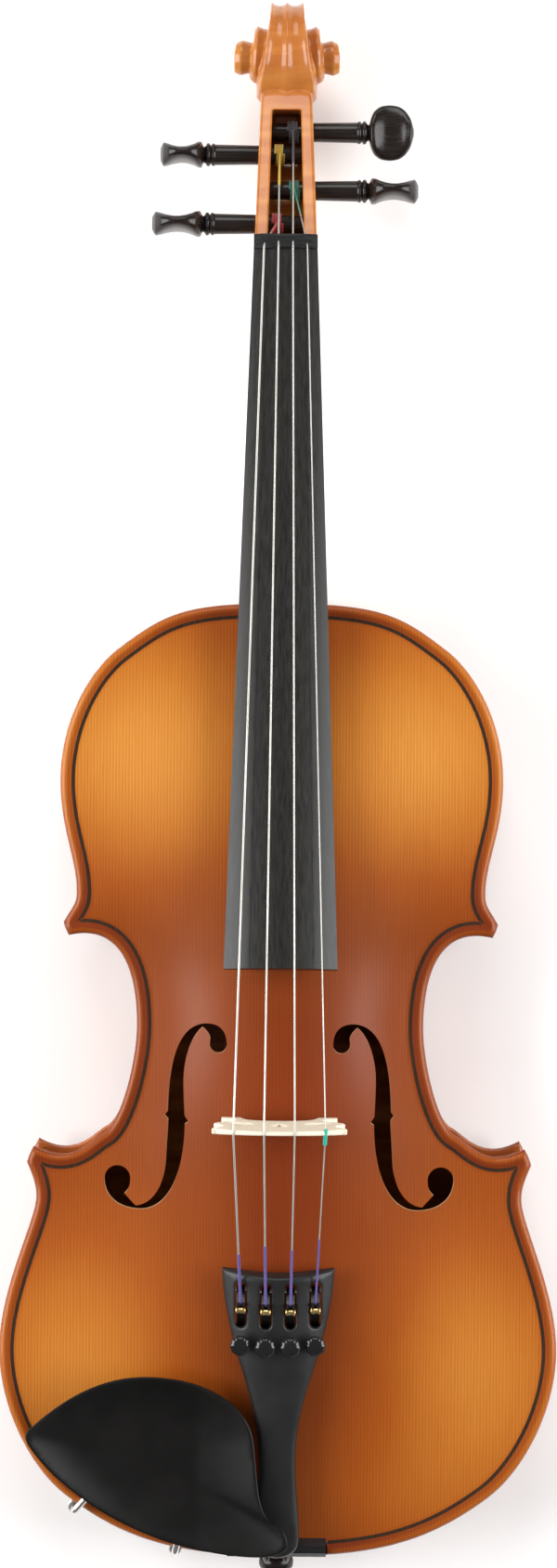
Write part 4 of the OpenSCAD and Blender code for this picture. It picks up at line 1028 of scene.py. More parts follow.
def neck():
    box_ys = [484, 486, 488, 489.6, 491, 493, 495.02, 495.1, 498, 503, 509, 515, 522, 530, 537, 543, 546, 549,
              551, 553, 555, 557, 559, 561, 563.5]
    box = new_object("pegbox", *loft_mesh([box_section(y) for y in box_ys]))
    outward(box.data)
    hole_ys = [495.15, 500, 510, 525, 540, 545.6]
    hollow = []
    for y in hole_ys:
        w = box_inner(y)
        low = lookup(y, BOX_BACK) + lookup(y, [(495, 6.5), (510, 5.5), (540, 6), (546, 9)])
        hollow.append([(-w, y, 45), (-w, y, low + 1.5), (-w + 1.5, y, low), (w - 1.5, y, low), (w, y, low + 1.5),
                       (w, y, 45)])
    cut = new_object("hollow", *loft_mesh(hollow))
    outward(cut.data)
    boolean(box, cut, "DIFFERENCE")
    for i in range(4):
        y, z = PEG_Y[i], peg_z(i)
        hole = cylinder_between("bore", (-16, y, z), (16, y, z), PEG_D / 2 + 0.12)
        boolean(box, hole, "DIFFERENCE")
    neck_ys = [356.6, 359, 362, 365, 367, 368.6, 369.8, 371, 372.5, 374.4, 377, 380, 384, 388, 393, 400, 410,
               425, 440, 455, 470, 480, 489.4]
    root = [(-10.5, 0.3), (10.5, 0.3), (15.3, 41.2), (-15.3, 41.2)]
    parts = [loft_mesh([[(x, y, z) for x, z in root] for y in (350.6, 357.2)]),
             loft_mesh([neck_section(y) for y in neck_ys])]
    parts += [cam(k) for k in range(3)]
    body = new_object("neck", *join_parts(parts), slot="maple_varnish")
    outward(body.data)
    bm = bmesh.new()
    bm.from_mesh(body.data)
    bm.from_mesh(box.data)
    bm.to_mesh(body.data)
    bm.free()
    bpy.data.objects.remove(box)
    remesh(body, 0.4, 3)
    paint(body, NECK)
    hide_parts("neck_scroll")


neck()


# ---------------------------------------------------------------- pegs and their windings
PEG_REACH = (50.7, 48.0, 48.6, 50.2)
PEG_TURN = (90, 90, 0, 90)
WINDING_X = (-3.2, -2.6, 2.6, 3.2)
STRING_D = (0.82, 0.74, 0.68, 0.5)
SILK = {"g": (0.42, 0.02, 0.03), "d": (0.62, 0.42, 0.03), "a": (0.05, 0.05, 0.06), "e": (0.02, 0.22, 0.14)}


def curve_through(z, table):
    """Smooth value through a table: straight pieces blended by easing."""
    xs, ys = zip(*table)
    slopes = np.gradient(ys, xs)
    k = int(np.clip(np.searchsorted(xs, z) - 1, 0, len(xs) - 2))
    h = xs[k + 1] - xs[k]
    t = min(1.0, max(0.0, (z - xs[k]) / h))
    a, b = ys[k], ys[k + 1]
    return ((2 * t ** 3 - 3 * t * t + 1) * a + (t ** 3 - 2 * t * t + t) * h * slopes[k]
            + (3 * t * t - 2 * t ** 3) * b + (t ** 3 - t * t) * h * slopes[k + 1])


def peg_frame(i):
    return (Matrix.Translation((0, PEG_Y[i], peg_z(i)))
            @ Matrix.Rotation(math.radians(90 * PEG_SIDE[i]), 4, "Y"))


def peg(i):
    reach, tip = PEG_REACH[i], box_half(PEG_Y[i]) - 0.6
    taper = 1 / 30
    small, big = (PEG_D - taper * tip) / 2, (PEG_D + taper * 27) / 2
    shaft = [(0, -tip), (small - 0.9, -tip), (small - 0.3, -tip + 0.3), (small, -tip + 1), (big, 26.6),
             (big, 27), (3.95, 27.1), (4.25, 27.5), (4.3, 27.9), (4.2, 28.3), (3.65, 28.6), (3.6, 28.9),
             (4.3, 29.3), (4.4, 29.8), (4.3, 30.3), (3.5, 30.7), (3.1, 31.2), (2.9, 32.5), (0, 33.5)]
    start, end = 31.6, reach
    wide = [(0, 3.2), (0.03, 5.2), (0.08, 7.3), (0.2, 9.5), (0.38, 10.5), (0.55, 10.5), (0.72, 9.6), (0.86, 7.4),
            (0.95, 4.6), (1, 1.6)]
    thin = [(0, 3.2), (0.04, 4.6), (0.1, 4.7), (0.22, 3.7), (0.4, 2.7), (0.55, 2.55), (0.72, 3.2), (0.86, 4.1),
            (0.94, 4.25), (1, 2.4)]
    rings = []
    for k in range(41):
        t = 0.5 - 0.5 * math.cos(math.pi * k / 40)
        a, b = curve_through(t, wide), curve_through(t, thin)
        z = mix(start, end, t)
        ring = []
        for j in range(48):
            c, s = math.cos(2 * math.pi * j / 48), math.sin(2 * math.pi * j / 48)
            power = 0.8
            ring.append((b * math.copysign(abs(c) ** power, c), a * math.copysign(abs(s) ** power, s), z))
        rings.append(ring)
    head = loft_mesh(rings)
    turn = Matrix.Rotation(math.radians(PEG_TURN[i]), 4, "Z")
    head = (place_at(head[0], turn), head[1])
    verts, faces = join_parts([lathe(shaft, 48), head])
    name = STRINGS[i]
    obj = new_object("turned_peg_" + name, place_at(verts, peg_frame(i)), faces, body="peg_set_" + name,
                     slot="peg_wood", angle=60)
    paint(obj, PEG_WOOD)
    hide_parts("peg_" + name)


def peg_winding(i):
    """Close turns of the string's silk around the peg."""
    d, name = STRING_D[i] + 0.12, STRINGS[i]
    inner = PEG_D / 2 - 0.05
    turns = int(4.1 / d)
    path = []
    for k in range(turns * 28 + 1):
        a = 2 * math.pi * k / 28
        path.append((WINDING_X[i] - d * turns / 2 + d * a / (2 * math.pi), (inner + d / 2) * math.sin(a),
                     (inner + d / 2) * math.cos(a)))
    verts, faces = tube(path, d / 2, 8)
    at = Matrix.Translation((0, PEG_Y[i], peg_z(i)))
    obj = new_object("coil_" + name, place_at(verts, at), faces, body="peg_set_" + name, slot="string_turns",
                     angle=60)
    paint(obj, silk_thread("peg_silk_" + name, SILK[name]))
    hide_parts("winding_" + name)


for n in range(4):
    peg(n)
    peg_winding(n)


# ---------------------------------------------------------------- strings
NUT_SPAN, BRIDGE_SPAN, TUNER_SPAN = 16.2, 33.6, 27.6
BRIDGE_Y, BRIDGE_H, BRIDGE_R = 162.0, 33.0, 42.0
BRIDGE_FOOT = RIB_H + TOP_ARCH
TAIL_L, TAIL_TOP, TAIL_TILT, TAIL_R = 109.0, 60.0, math.radians(7.4), 34.0
TAIL_FLOOR = 7.5


def across(span, i):
    return mix(-span, span, i / 3) / 2


def from_board(x, y, z):
    c, s = math.cos(BOARD_SLOPE), math.sin(BOARD_SLOPE)
    return Vector((x, NUT_Y + y * c + z * s, BOARD_TOP - y * s + z * c))


def from_tail(x, y, z):
    c, s = math.cos(TAIL_TILT), math.sin(TAIL_TILT)
    return Vector((x, TAIL_L + y * c - z * s, TAIL_TOP + y * s + z * c))


def tail_sag(x):
    return TAIL_R - math.sqrt(TAIL_R ** 2 - x * x)


def string_route(i):
    d = STRING_D[i]
    nx, bx, tx = across(NUT_SPAN, i), across(BRIDGE_SPAN, i), across(TUNER_SPAN, i)
    nut = from_board(nx, 1.2, 0.9 - sag(2 * abs(nx)) - 0.1 + d / 2)
    top = (BRIDGE_FOOT + BRIDGE_H - 0.25 - (BRIDGE_R - math.sqrt(BRIDGE_R ** 2 - bx * bx)) + d / 2
           + (-0.6 if i == 3 else 0.2))
    on_peg = Vector((WINDING_X[i], PEG_Y[i], peg_z(i) + PEG_D / 2 + 0.9 + d / 2 + 0.12))
    return [from_tail(tx, -14.6 + 2.4, 0.6 - tail_sag(tx) + 0.1), Vector((bx, BRIDGE_Y, top)), nut, on_peg]


SILK_L = (20, 24, 22.5, 26)


def strings():
    for i, name in enumerate(STRINGS):
        route, d = string_route(i), STRING_D[i]
        wire = new_object("wire_" + name, *tube(bend(route, 1.2), d / 2, 12), slot="string_wire", angle=70)
        paint(wire, WIRE)
        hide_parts("string_" + name)
        along = (route[1] - route[0]).normalized()
        silk = new_object("tail_silk_" + name, *tube([route[0] - along * 0.2, route[0] + along * SILK_L[i]],
                                                   d / 2 + 0.17, 14), slot="string_turns", angle=70)
        paint(silk, silk_thread("tail_silk_" + name, (0.10, 0.06, 0.30)))
        along = (route[3] - route[2]).normalized()
        length = (route[3] - route[2]).length
        upper = new_object("head_silk_" + name, *tube([route[3] - along * min(16, length * 0.45), route[3]],
                                                     d / 2 + 0.1, 14), slot="string_turns", angle=70)
        paint(upper, silk_thread("head_silk_" + name, SILK[name]))
    route = string_route(3)
    along = (route[0] - route[1]).normalized()
    sleeve = new_object("e_sleeve", *tube(bend([route[1] - along * 1.4 + Vector((0, 0, 0.05)),
                                                route[1] + Vector((0, 0, 0.05)), route[1] + along * 4.6], 1.2),
                                          0.75, 16), slot="sleeve_green", angle=60)
    paint(sleeve, SLEEVE_GREEN)
    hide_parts("string_sleeve")


strings()


# ---------------------------------------------------------------- flat and dished shells
def loop_distance(xy, loop):
    """Distance from each point to a closed loop."""
    a = np.array([(p[0], p[1]) for p in loop])
    ab = np.roll(a, -1, axis=0) - a
    ab2 = np.maximum((ab ** 2).sum(1), 1e-12)
    t = np.clip(((xy[:, None, :] - a) * ab).sum(2) / ab2, 0, 1)
    return np.sqrt(((xy[:, None, :] - (a + t[..., None] * ab)) ** 2).sum(2)).min(1)


def refine(loop, step):
    """The same loop with points no more than `step` apart."""
    out = []
    for a, b in zip(loop, list(loop[1:]) + [loop[0]]):
        a, b = Vector(a), Vector(b)
        n = max(1, math.ceil((b - a).length / step))
        out += [a.lerp(b, k / n) for k in range(n)]
    return out


def shell(loops, grid, offsets, high, low):
    """Solid between two height functions of (places, distance from the edge), over a plan with holes."""
    loops = [refine([Vector(p) for p in loop], grid) for loop in loops]
    places, edges, start = [], [], 0
    for loop in loops:
        places += loop
        edges += [(start + i, start + (i + 1) % len(loop)) for i in range(len(loop))]
        start += len(loop)
    outer = np.array([tuple(p) for p in loops[0]])
    extra = []
    for loop in loops:
        lp = np.array([tuple(p) for p in loop])
        t = np.roll(lp, -1, axis=0) - np.roll(lp, 1, axis=0)
        t /= np.maximum(np.linalg.norm(t, axis=1, keepdims=True), 1e-9)
        for d in offsets:
            for s in (1, -1):
                q = lp + s * d * np.stack([t[:, 1], -t[:, 0]], 1)
                extra.append(q)
    gx, gy = np.meshgrid(np.arange(outer[:, 0].min(), outer[:, 0].max(), grid),
                         np.arange(outer[:, 1].min(), outer[:, 1].max(), grid))
    inner = np.stack([gx.ravel(), gy.ravel()], 1)

    def free(q, gap):
        keep = inside(q, loops[0])
        for loop in loops[1:]:
            keep &= ~inside(q, loop)
        dist = np.min([loop_distance(q, loop) for loop in loops], axis=0)
        return keep & (dist > gap)

    picked = []
    for k, q in enumerate(extra):
        d = offsets[(k // 2) % len(offsets)]
        picked.append(q[free(q, d * 0.93)])
    gap = (max(offsets) if offsets else 0) + grid * 0.4
    picked.append(inner[free(inner, gap)])
    places += [Vector(p) for q in picked for p in q]
    verts, _, tris, *_ = geometry.delaunay_2d_cdt(places, edges, [], 1, 1e-5)
    xy = np.array([tuple(v) for v in verts])
    tris = np.array([list(t) for t in tris])
    centre = xy[tris].mean(1)
    keep = inside(centre, loops[0])
    for loop in loops[1:]:
        keep &= ~inside(centre, loop)
    tris = tris[keep]
    used = np.unique(tris)
    renum = -np.ones(len(xy), int)
    renum[used] = np.arange(len(used))
    xy, tris = xy[used], renum[tris]
    d = np.min([loop_distance(xy, loop) for loop in loops], axis=0)
    zs, zl = high(xy, d), low(xy, d)
    n = len(xy)
    points = [(p[0], p[1], z) for p, z in zip(xy, zs)] + [(p[0], p[1], z) for p, z in zip(xy, zl)]
    faces = [tuple(t) for t in tris.tolist()] + [tuple(n + i for i in reversed(t)) for t in tris.tolist()]
    seen = {(a, b) for t in tris.tolist() for a, b in ((t[0], t[1]), (t[1], t[2]), (t[2], t[0]))}
    faces += [(b, a, n + a, n + b) for a, b in seen if (b, a) not in seen]
    return points, faces


def bezier_run(curves):
    """[(control points, steps), ...] to a list of points."""
    out = []
    for c, n in curves:
        out += [tuple(bez(c, i / n)) for i in range(n)]
    return out


def flipped(points):
    return [(-x, y) for x, y in reversed(points)]


def disc(x, y, r, steps=28):
    return [(x + r * math.cos(2 * math.pi * k / steps), y + r * math.sin(2 * math.pi * k / steps))
            for k in range(steps)]


# ---------------------------------------------------------------- bridge
def bridge():
    def ground(x):
        q = np.array([(x, BRIDGE_Y)])
        return RIB_H + surface(q, edge_distance(q), TOP_ARCH)[0] - BRIDGE_FOOT

    foot_out, foot_in = 21.5, 14.2
    under = [(x, ground(x) + 0.02) for x in np.linspace(foot_out, foot_in, 7)]
    arch_in = bezier_run([([(foot_in, ground(foot_in) + 0.02), (13.6, 1.6), (13.2, 3.2), (12.2, 4.4)], 6),
                          ([(12.2, 4.4), (10, 7.0), (4.5, 7.6), (0, 7.6)], 10)])
    side = bezier_run([
        ([(foot_out, ground(foot_out) + 0.02), (21.7, 1.0), (21.4, 2.0), (20.4, 2.4)], 5),
        ([(20.4, 2.4), (16.5, 3.4), (15.3, 5.2), (16.6, 7.6)], 8),
        ([(16.6, 7.6), (17.6, 9.2), (19.4, 9.6), (21.6, 10.6)], 6),
        ([(21.6, 10.6), (24.6, 12.0), (24.9, 14.6), (22.8, 16.0)], 8),
        ([(22.8, 16.0), (20.6, 17.2), (20.2, 19.2), (21.8, 21.4)], 6),
        ([(21.8, 21.4), (23.4, 23.2), (24.9, 24.2), (24.8, 25.6)], 6)])
    crown_from = math.degrees(math.acos(23.4 / BRIDGE_R))
    crown = [(BRIDGE_R * math.cos(math.radians(a)), BRIDGE_H - BRIDGE_R + BRIDGE_R * math.sin(math.radians(a)))
             for a in np.linspace(crown_from, 90, 16)]
    side += [(24.3, 26.4)]
    right = side + crown
    loop = right + flipped(right[:-1])
    loop += [(-x, z) for x, z in under] + [(-x, z) for x, z in arch_in[1:]] + [(0, 7.6)]
    loop += [(x, z) for x, z in reversed(arch_in[1:])] + [(x, z) for x, z in reversed(under)][:-1]
    heart = bezier_run([
        ([(0, 20.6), (0.6, 21.6), (2.4, 21.8), (2.8, 20.0)], 6),
        ([(2.8, 20.0), (3.2, 18.0), (1.2, 16.0), (0, 13.4)], 8)])
    heart = heart + [(0, 13.4)] + flipped(heart[1:])
    kidney = bezier_run([([(9.6, 14.6), (9.2, 16.4), (11.0, 17.9), (13.2, 17.1)], 7),
                         ([(13.2, 17.1), (15.4, 16.2), (15.8, 14.2), (17.6, 13.6)], 7),
                         ([(17.6, 13.6), (19.2, 13.2), (19.0, 11.6), (17.4, 11.4)], 6),
                         ([(17.4, 11.4), (15.6, 11.2), (15.0, 12.6), (13.6, 12.2)], 6),
                         ([(13.6, 12.2), (11.8, 11.8), (10.0, 12.8), (9.6, 14.6)], 7)])

    def half_thick(xy, d):
        return np.interp(xy[:, 1], [-9, 3, BRIDGE_H], [2.2, 2.15, 0.72]) - 0.35 * np.clip(1 - d / 0.4, 0, 1) ** 2

    verts, faces = shell([loop, heart, kidney, flipped(kidney)], 1.1, [0.2, 0.45], half_thick,
                         lambda xy, d: -half_thick(xy, d))
    verts = [(x, 161.9 - t + 0.75 * np.interp(z, [0, BRIDGE_H], [1.4, 0]), BRIDGE_FOOT + z) for x, z, t in verts]
    obj = new_object("carved_bridge", verts, faces, slot="bridge_maple", angle=40)
    paint(obj, BRIDGE_WOOD)
    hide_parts("bridge")


bridge()


# ---------------------------------------------------------------- tailpiece
def tail_matrix():
    return (Matrix.Translation((0, TAIL_L, TAIL_TOP)) @ Matrix.Rotation(TAIL_TILT, 4, "X"))


def tailpiece():
    half = [(0, -1.9), (8, -1.5), (16, -0.5), (20.6, 0)]
    half += bezier_run([([(20.6, 0), (21.0, -0.3), (20.9, -1.2), (20.8, -2.4)], 4),
                        ([(20.8, -2.4), (20.3, -11), (18.4, -19), (16.6, -27)], 10),
                        ([(16.6, -27), (14.2, -36), (8, -50), (7, -66)], 14),
                        ([(7, -66), (6.3, -80), (8.4, -92), (8.4, -101.5)], 12),
                        ([(8.4, -101.5), (8.4, -106), (5, -108.7), (0, -108.7)], 8)])
    plan = half + [(0, -108.7)] + flipped(half[1:])
    slots = []
    for i in range(4):
        x, r = across(TUNER_SPAN, i), 2.2
        top = [(x + r * math.cos(a), -6.2 + r * math.sin(a)) for a in np.linspace(0, math.pi, 9)]
        low = [(x + r * math.cos(a), -19.4 + r * math.sin(a)) for a in np.linspace(math.pi, 2 * math.pi, 9)]
        slots.append(top + low)
    screws = [disc(across(TUNER_SPAN, i), -26.6, 1.3, 20) for i in range(4)]

    def crown(xy):
        return -(TAIL_R - np.sqrt(TAIL_R ** 2 - xy[:, 0] ** 2))

    def high(xy, d):
        edge = loop_distance(xy, plan)
        soft = np.clip(1 - d / 0.5, 0, 1) ** 2 * 0.35
        return crown(xy) - soft - np.clip(1 - edge / 1.6, 0, 1) ** 2 * 1.0

    def low(xy, d):
        wall = np.clip(1 - loop_distance(xy, plan) / 2.6, 0, 1) ** 0.5
        thick = np.interp(xy[:, 1], [-72, -40, -33], [7.2, 5.2, 3.0])
        shallow = np.maximum(crown(xy) - thick, -TAIL_FLOOR)
        deep = np.interp(xy[:, 1], [-70, -34], [-TAIL_FLOOR, -9.6])
        return mix(shallow, np.minimum(deep, crown(xy) - 3.0), np.where(xy[:, 1] > -66, wall * 0.9, 0))

    verts, faces = shell([plan] + slots + screws, 1.3, [0.25, 0.6, 1.2], high, low)
    obj = new_object("shaped_tailpiece", place_at(verts, tail_matrix()), faces, slot="black_composite", angle=42)
    paint(obj, COMPOSITE)
    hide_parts("tailpiece")


tailpiece()


# ---------------------------------------------------------------- fine tuners
SCREW_Y, SCREW_D, SCREW_TOP, KNOB_D = -26.6, 2.4, 3.2, 7.7
BALL_Y, BALL_UP = -14.6, 0.6
ARM_Z = -6.8


def tuner_matrix(i):
    x = across(TUNER_SPAN, i)
    return tail_matrix() @ Matrix.Translation((x, 0, -tail_sag(x)))


def fluted_knob(flutes=10, steps=120):
    """Knob with a dished skirt, soft flutes round its side and a domed head."""
    r = KNOB_D / 2
    rows = [(0.0, 2.4, 0), (0.25, 2.9, 0), (0.7, 3.2, 0.2), (1.2, 3.45, 0.6), (1.8, r - 0.1, 1), (2.4, r, 1),
            (3.0, r - 0.02, 1), (3.5, r - 0.25, 0.8), (3.9, r - 0.75, 0.5), (4.2, r - 1.5, 0.2),
            (4.38, r - 2.4, 0), (4.47, 0.7, 0)]
    flute_depth, height = 0.24, 4.5
    rings = []
    for z, radius, share in rows:
        ring = []
        for k in range(steps):
            a = 2 * math.pi * k / steps
            dent = share * flute_depth * (0.5 - 0.5 * math.cos(flutes * a)) ** 2
            ring.append(((radius - dent) * math.cos(a), (radius - dent) * math.sin(a), z))
        rings.append(ring)
    return capped((0, 0, 0), rings, (0, 0, height))


def threaded(r, low, high, pitch=0.5, depth=0.16, steps=20, per_turn=6):
    """Screw with a real thread, its ends slightly turned down."""
    rows = int((high - low) / pitch * per_turn)
    rings = []
    for j in range(rows + 1):
        ring = []
        z = low + (high - low) * j / rows
        ease = min(1, (z - low) / 0.4, (high - z) / 0.4)
        for k in range(steps):
            a = 2 * math.pi * k / steps
            wave = abs(((z / pitch - k / steps) % 1) * 2 - 1)
            radius = r - depth * wave * ease - 0.25 * (1 - ease)
            ring.append((radius * math.cos(a), radius * math.sin(a), z))
        rings.append(ring)
    return capped((0, 0, low), rings, (0, 0, high))


def tuner(i):
    s, at = STRINGS[i], tuner_matrix(i)
    verts, faces = fluted_knob()
    knob_at = at @ Matrix.Translation((0, SCREW_Y, SCREW_TOP))
    knob = new_object("fluted_knob_" + s, place_at(verts, knob_at), faces, body="knob_" + s, slot="black_knob",
                      angle=50)
    paint(knob, KNOB_BLACK)
    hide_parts("tuner_knob_" + s)
    verts, faces = threaded(SCREW_D / 2, ARM_Z + 0.95, SCREW_TOP + 2.5)
    screw = new_object("threaded_screw_" + s, place_at(verts, at @ Matrix.Translation((0, SCREW_Y, 0))), faces,
                       body="screw_" + s, slot="steel", angle=60)
    paint(screw, NICKEL)
    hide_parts("tuner_screw_" + s)
    turn = Matrix.Rotation(math.radians(90), 4, "Y")
    ring = [(0.52, -1.6), (0.85, -1.88), (1.1, -1.85), (1.3, -1.55), (1.22, -1.0), (1.12, 0), (1.22, 1.0),
            (1.3, 1.55), (1.1, 1.85), (0.85, 1.88), (0.52, 1.6)]
    verts, faces = bored_lathe(ring, 36)
    ball_at = at @ Matrix.Translation((0, BALL_Y, BALL_UP)) @ turn
    ball = new_object("turned_ball_" + s, place_at(verts, ball_at), faces, body="lever_" + s, slot="ball_brass",
                      angle=50)
    paint(ball, BRASS)
    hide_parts("ball_end_" + s)


for n in range(4):
    tuner(n)


# ---------------------------------------------------------------- end button and tailgut
def end_button():
    profile = [(0, -20), (3.3, -20), (3.6, -19.6), (3.86, -2.52), (4.9, -2.52), (5.25, -2.3), (5.55, -1.7),
               (5.3, -1.1), (4.75, -0.75), (4.62, -0.2), (4.6, 1.0), (4.62, 2.2), (4.8, 2.7), (5.6, 3.1),
               (6.2, 3.7), (6.48, 4.6), (6.5, 5.6), (6.42, 6.6), (6.1, 7.5), (5.4, 8.25), (4.4, 8.7), (3.0, 8.92),
               (1.4, 8.99), (0, 9)]
    verts, faces = lathe(profile, 72)
    at = Matrix.Translation((0, 0, RIB_H / 2)) @ Matrix.Rotation(math.radians(90), 4, "X")
    obj = new_object("turned_button", place_at(verts, at), faces, slot="peg_wood", angle=45)
    paint(obj, PEG_WOOD)
    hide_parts("end_button")


end_button()


def tailgut():
    gut_x, r_loop, back = 3.4, 5.55, -1.6
    start = tail_matrix() @ Vector((gut_x, -TAIL_L + 20, -TAIL_FLOOR + 2.4))
    over = RIB_H + 7.2 + 0.55
    side = [start, Vector((gut_x, 4, over + 0.48)), Vector((gut_x, back, over - 2.4)),
            Vector((r_loop, back, RIB_H / 2))]
    arc_low = [Vector((r_loop * math.cos(a), back, RIB_H / 2 - r_loop * math.sin(a)))
               for a in np.linspace(0, math.pi, 40)[1:-1]]
    other = [Vector((-p.x, p.y, p.z)) for p in reversed(side)]
    path = bend(side, 3.0, 8)[:-1] + [side[-1]] + arc_low + bend(other, 3.0, 8)
    obj = new_object("looped_tailgut", *tube(path, 0.9, 18), slot="tailgut_black", angle=70)
    paint(obj, GUT)
    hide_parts("tailgut")


tailgut()


# ---------------------------------------------------------------- chinrest
CHIN_Z, CHIN_C = 47.5, (-46.0, 36.0)
CHIN_PLAN = bezier_run([([(-92, 50), (-80, 61), (-66, 69.5), (-48.8, 69.5)], 22),
                        ([(-48.8, 69.5), (-30, 69.5), (-9.5, 62), (-8.5, 44)], 26),
                        ([(-8.5, 44), (-7, 32), (-7.5, 20), (-1.4, 16.5)], 18),
                        ([(-1.4, 16.5), (2.5, 14.5), (4.5, 11), (4, 8)], 8),
                        ([(4, 8), (2, 3), (-10, 3), (-24, 5)], 16),
                        ([(-24, 5), (-52, 8.5), (-80, 27), (-91.5, 44.5)], 30),
                        ([(-91.5, 44.5), (-93, 47), (-93.2, 48.8), (-92, 50)], 5)])


def chin_share(xy):
    """0 at the middle of the cup, 1 at its rim."""
    plan = np.array(CHIN_PLAN) - CHIN_C
    order = np.argsort(np.arctan2(plan[:, 1], plan[:, 0]))
    turn, reach = np.arctan2(plan[:, 1], plan[:, 0])[order], np.hypot(plan[:, 0], plan[:, 1])[order]
    q = xy - np.array(CHIN_C)
    rim = np.interp(np.arctan2(q[:, 1], q[:, 0]), turn, reach, period=2 * math.pi)
    return np.clip(np.hypot(q[:, 0], q[:, 1]) / rim, 0, 1)


def chin_tilt(xy):
    return CHIN_Z + 4.5 * (np.maximum(0, -xy[:, 0] - 40) / 50) ** 2 + 0.14 * np.maximum(0, xy[:, 0] + 30)


def chin_high(xy, d):
    s = chin_share(xy)
    return chin_tilt(xy) + 1.4 + 5.0 * s ** 3 - 0.75 * np.clip(1 - d / 0.9, 0, 1) ** 2


def chin_low(xy, d):
    s = chin_share(xy)
    return chin_tilt(xy) - 1.6 + 6.0 * s ** 6 + 0.45 * np.clip(1 - d / 0.9, 0, 1) ** 2


def rounded_box(cx, cy, long, wide, angle, radius=1.6):
    out = []
    for sx, sy, a0 in ((1, 1, 0), (-1, 1, 90), (-1, -1, 180), (1, -1, 270)):
        for k in range(6):
            a = math.radians(a0 + 90 * k / 5)
            out.append((sx * (long / 2 - radius) + radius * math.cos(a),
                        sy * (wide / 2 - radius) + radius * math.sin(a)))
    c, s = math.cos(math.radians(angle)), math.sin(math.radians(angle))
    return [Vector((cx + x * c - y * s, cy + x * s + y * c)) for x, y in out]


def kept_inside(loop, d):
    """A loop with any point outside the violin's outline, moved in by d, drawn back onto it."""
    cup = np.array([tuple(p) for p in refine([Vector(CHIN_C) + (Vector(p) - Vector(CHIN_C)) * 0.95
                                              for p in CHIN_PLAN], 0.4)])
    edge = np.array([tuple(p) for p in refine([Vector((p.x, p.y)) for p in set_in(OUTLINE, d)], 0.4)])
    loop = refine(loop, 1.0)
    xy = np.array([tuple(p) for p in loop])
    for border in (cup, edge, cup):
        for k in np.nonzero(~inside(xy, border))[0]:
            xy[k] = border[np.argmin(((border - xy[k]) ** 2).sum(1))]
    out = [xy[0]]
    for p in xy[1:]:
        if np.hypot(*(p - out[-1])) > 0.3:
            out.append(p)
    return [tuple(p) for p in out]


CHIN_FEET = [kept_inside(rounded_box(-72, 27, 24, 9, -52), 0.55),
             kept_inside(rounded_box(-38, 10.5, 26, 9, -17), 0.55)]


def chinrest():
    verts, faces = shell([CHIN_PLAN], 1.6, [0.35, 0.9], chin_high, chin_low)
    cup = new_object("moulded_chinrest", verts, faces, slot="black_composite", angle=50)
    cork_top = RIB_H + EDGE_T + 3.35
    for k, foot in enumerate(CHIN_FEET):
        verts, faces = shell([foot], 1.6, [0.4], lambda xy, d: chin_low(xy, d + 9) + 1.0,
                             lambda xy, d: np.full(len(xy), cork_top) + 0.3 * np.clip(1 - d / 0.4, 0, 1) ** 2)
        boolean(cup, new_object("chin_foot_%d" % k, verts, faces), "UNION")
    finish_mesh(cup, 50)
    paint(cup, CHIN_BLACK)
    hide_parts("chinrest")
    parts = [shell([foot], 1.6, [0.3], lambda xy, d: RIB_H + EDGE_T + 3.25 - 0.25 * np.clip(1 - d / 0.3, 0, 1) ** 2,
                   lambda xy, d: np.full(len(xy), RIB_H + EDGE_T + 0.12)) for foot in CHIN_FEET]
    corks = new_object("cork_pads", *join_parts(parts), slot="cork", angle=50)
    paint(corks, CORK)
    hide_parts("chinrest_corks")


chinrest()


# ---------------------------------------------------------------- chinrest clamp
CLAMPS = [("outer", -76.0, 16.5, (-71.0, 22.5)), ("inner", -38.0, 1.2, (-36.8, 6.6))]
BARREL = (8.0, 26.0)


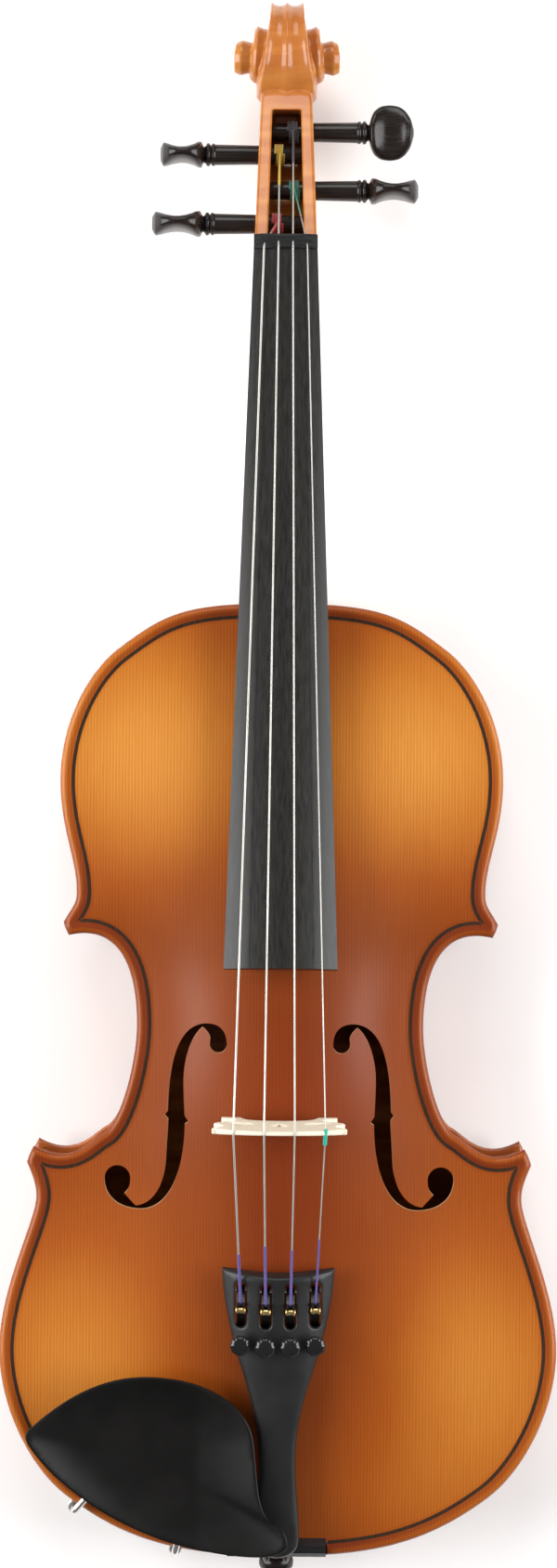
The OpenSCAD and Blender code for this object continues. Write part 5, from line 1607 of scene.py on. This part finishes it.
def clamp():
    legs = []
    for word, x, y, into in CLAMPS:
        foot_z = RIB_H + EDGE_T + 2.6
        path = bend([(x, y, BARREL[1] - 6), (x, y, foot_z), (into[0], into[1], foot_z + 1.6)], 2.6, 10)
        legs.append(tube(path, 1.3, 20))
        profile = [(1.4, BARREL[0]), (2.2, BARREL[0]), (2.5, BARREL[0] + 0.4)]
        for start in (BARREL[0] + 1.2, BARREL[1] - 4.4):
            for k in range(9):
                z = start + k * 0.36
                profile += [(2.5, z), (2.34, z + 0.09), (2.34, z + 0.2), (2.5, z + 0.3)]
        profile += [(2.5, BARREL[1] - 0.4), (2.2, BARREL[1]), (1.4, BARREL[1])]
        barrel = new_object("knurled_barrel_" + word, *bored_lathe(profile, 48, x, y), body="barrel_" + word,
                            slot="steel", angle=40)
        middle = sum(BARREL) / 2
        boolean(barrel, new_object("key_hole", *tube([(x - 4, y, middle), (x + 4, y, middle)], 0.8, 20)))
        finish_mesh(barrel, 40)
        paint(barrel, NICKEL)
        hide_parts("clamp_barrel_" + word)
    bracket = new_object("bent_bracket", *join_parts(legs), slot="steel", angle=60)
    paint(bracket, NICKEL)
    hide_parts("chinrest_bracket")
    low = -EDGE_T - 2.2
    plan = [(-79, 15), (-76.5, 13.2), (-73.5, 12.6), (-42, -0.8), (-38, -1.4), (-34.6, -0.2), (-33.8, 3), (-34, 8.6),
            (-36, 10.6), (-62, 26), (-69.6, 29.8), (-72.4, 29.2), (-78.4, 19.6)]
    slab = shell([plan], 2.0, [0.4], lambda xy, d: low + 1.8 - 0.35 * np.clip(1 - d / 0.4, 0, 1) ** 2,
                 lambda xy, d: low + 0.35 * np.clip(1 - d / 0.4, 0, 1) ** 2)
    foot = new_object("clamp_plate", *slab, body="foot", slot="steel", angle=50)
    for word, x, y, _ in CLAMPS:
        verts, faces = threaded(1.3, low + 0.6, BARREL[0] + 6, 0.7, 0.2, 24, 6)
        boolean(foot, new_object("clamp_stud", place_at(verts, Matrix.Translation((x, y, 0))), faces), "UNION")
    finish_mesh(foot, 50)
    paint(foot, NICKEL)
    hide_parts("clamp_foot")


clamp()




# ---------------------------------------------------------------- pieces kept as the CAD made them
def dress(mat, *nodes):
    for n in nodes:
        paint(frame["nodes"][n], mat)


dress(INSIDE, "linings", "corner_blocks", "top_block", "bottom_block", "bass_bar", "sound_post")
dress(BOARD, "fingerboard")
dress(NUT_BLACK, "nut", "saddle")

dress(BRASS, "tailgut_nuts")
dress(NICKEL, "tuner_pins")
dress(DARK_STEEL, *("tuner_lever_" + s for s in STRINGS))


# ---------------------------------------------------------------- floor, light and camera
def studio():
    floor = bpy.data.meshes.new("floor")
    half = 6.0
    corners = [(-half, -half, 0), (half, -half, 0), (half, half, 0), (-half, half, 0)]
    floor.from_pydata(corners, [], [(0, 1, 2, 3)])
    floor_obj = bpy.data.objects.new("floor", floor)
    bpy.context.scene.collection.objects.link(floor_obj)
    m = Mat("floor", Roughness=0.9)
    cloudy = m.noise(m.place((3, 3, 3)), 1.0, 2)
    m.colour(m.ramp(cloudy, [(0.3, (0.95, 0.95, 0.95)), (0.8, (0.98, 0.98, 0.98))]))
    paint(floor_obj, m)
    floor_obj.location.z = -0.0002
    world = bpy.data.worlds.new("studio")
    world.use_nodes = True
    world.node_tree.nodes["Background"].inputs["Color"].default_value = (1, 1, 1, 1)
    world.node_tree.nodes["Background"].inputs["Strength"].default_value = 0.22
    bpy.context.scene.world = world
    middle = (cad_box[0] + cad_box[1]) / 2
    for name, x, y, z, size, power in (("left", -1.45, 0.1, 0.85, 1.3, 42), ("right", 1.45, 0.1, 0.85, 1.3, 38),
                                       ("head", -0.15, 1.6, 1.1, 0.9, 12)):
        light = bpy.data.lights.new(name, "AREA")
        light.energy, light.size = power, size
        lamp = bpy.data.objects.new(name, light)
        bpy.context.scene.collection.objects.link(lamp)
        lamp.location = middle + Vector((x, y, z))
        lamp.rotation_euler = (middle - lamp.location).to_track_quat("-Z", "Y").to_euler()


def camera():
    """Straight above the top, 1.5 m from it, with the picture's long side along the violin."""
    distance, long_side, roll = 1500.0, 586.1, math.radians(0.42)
    eye = Vector((-1.25, 288.9, 35 + distance))
    look, up = Vector((0, 0, -1)), Vector((-math.sin(roll), math.cos(roll), 0))
    right = look.cross(up)
    turn = Matrix((right, up, -look)).transposed().to_4x4()
    data = bpy.data.cameras.new("camera")
    data.sensor_width = 36.0
    data.lens = 36.0 * distance / long_side
    data.clip_start, data.clip_end = 0.05, 50
    cam = bpy.data.objects.new("camera", data)
    bpy.context.scene.collection.objects.link(cam)
    cam.location = TO_ROW @ eye
    cam.rotation_mode = "QUATERNION"
    cam.rotation_quaternion = (Matrix.Rotation(TILT, 4, "X") @ turn).to_quaternion()
    bpy.context.scene.camera = cam


studio()
camera()
bpy.context.scene.view_settings.view_transform = "Standard"
bpy.context.view_layer.update()
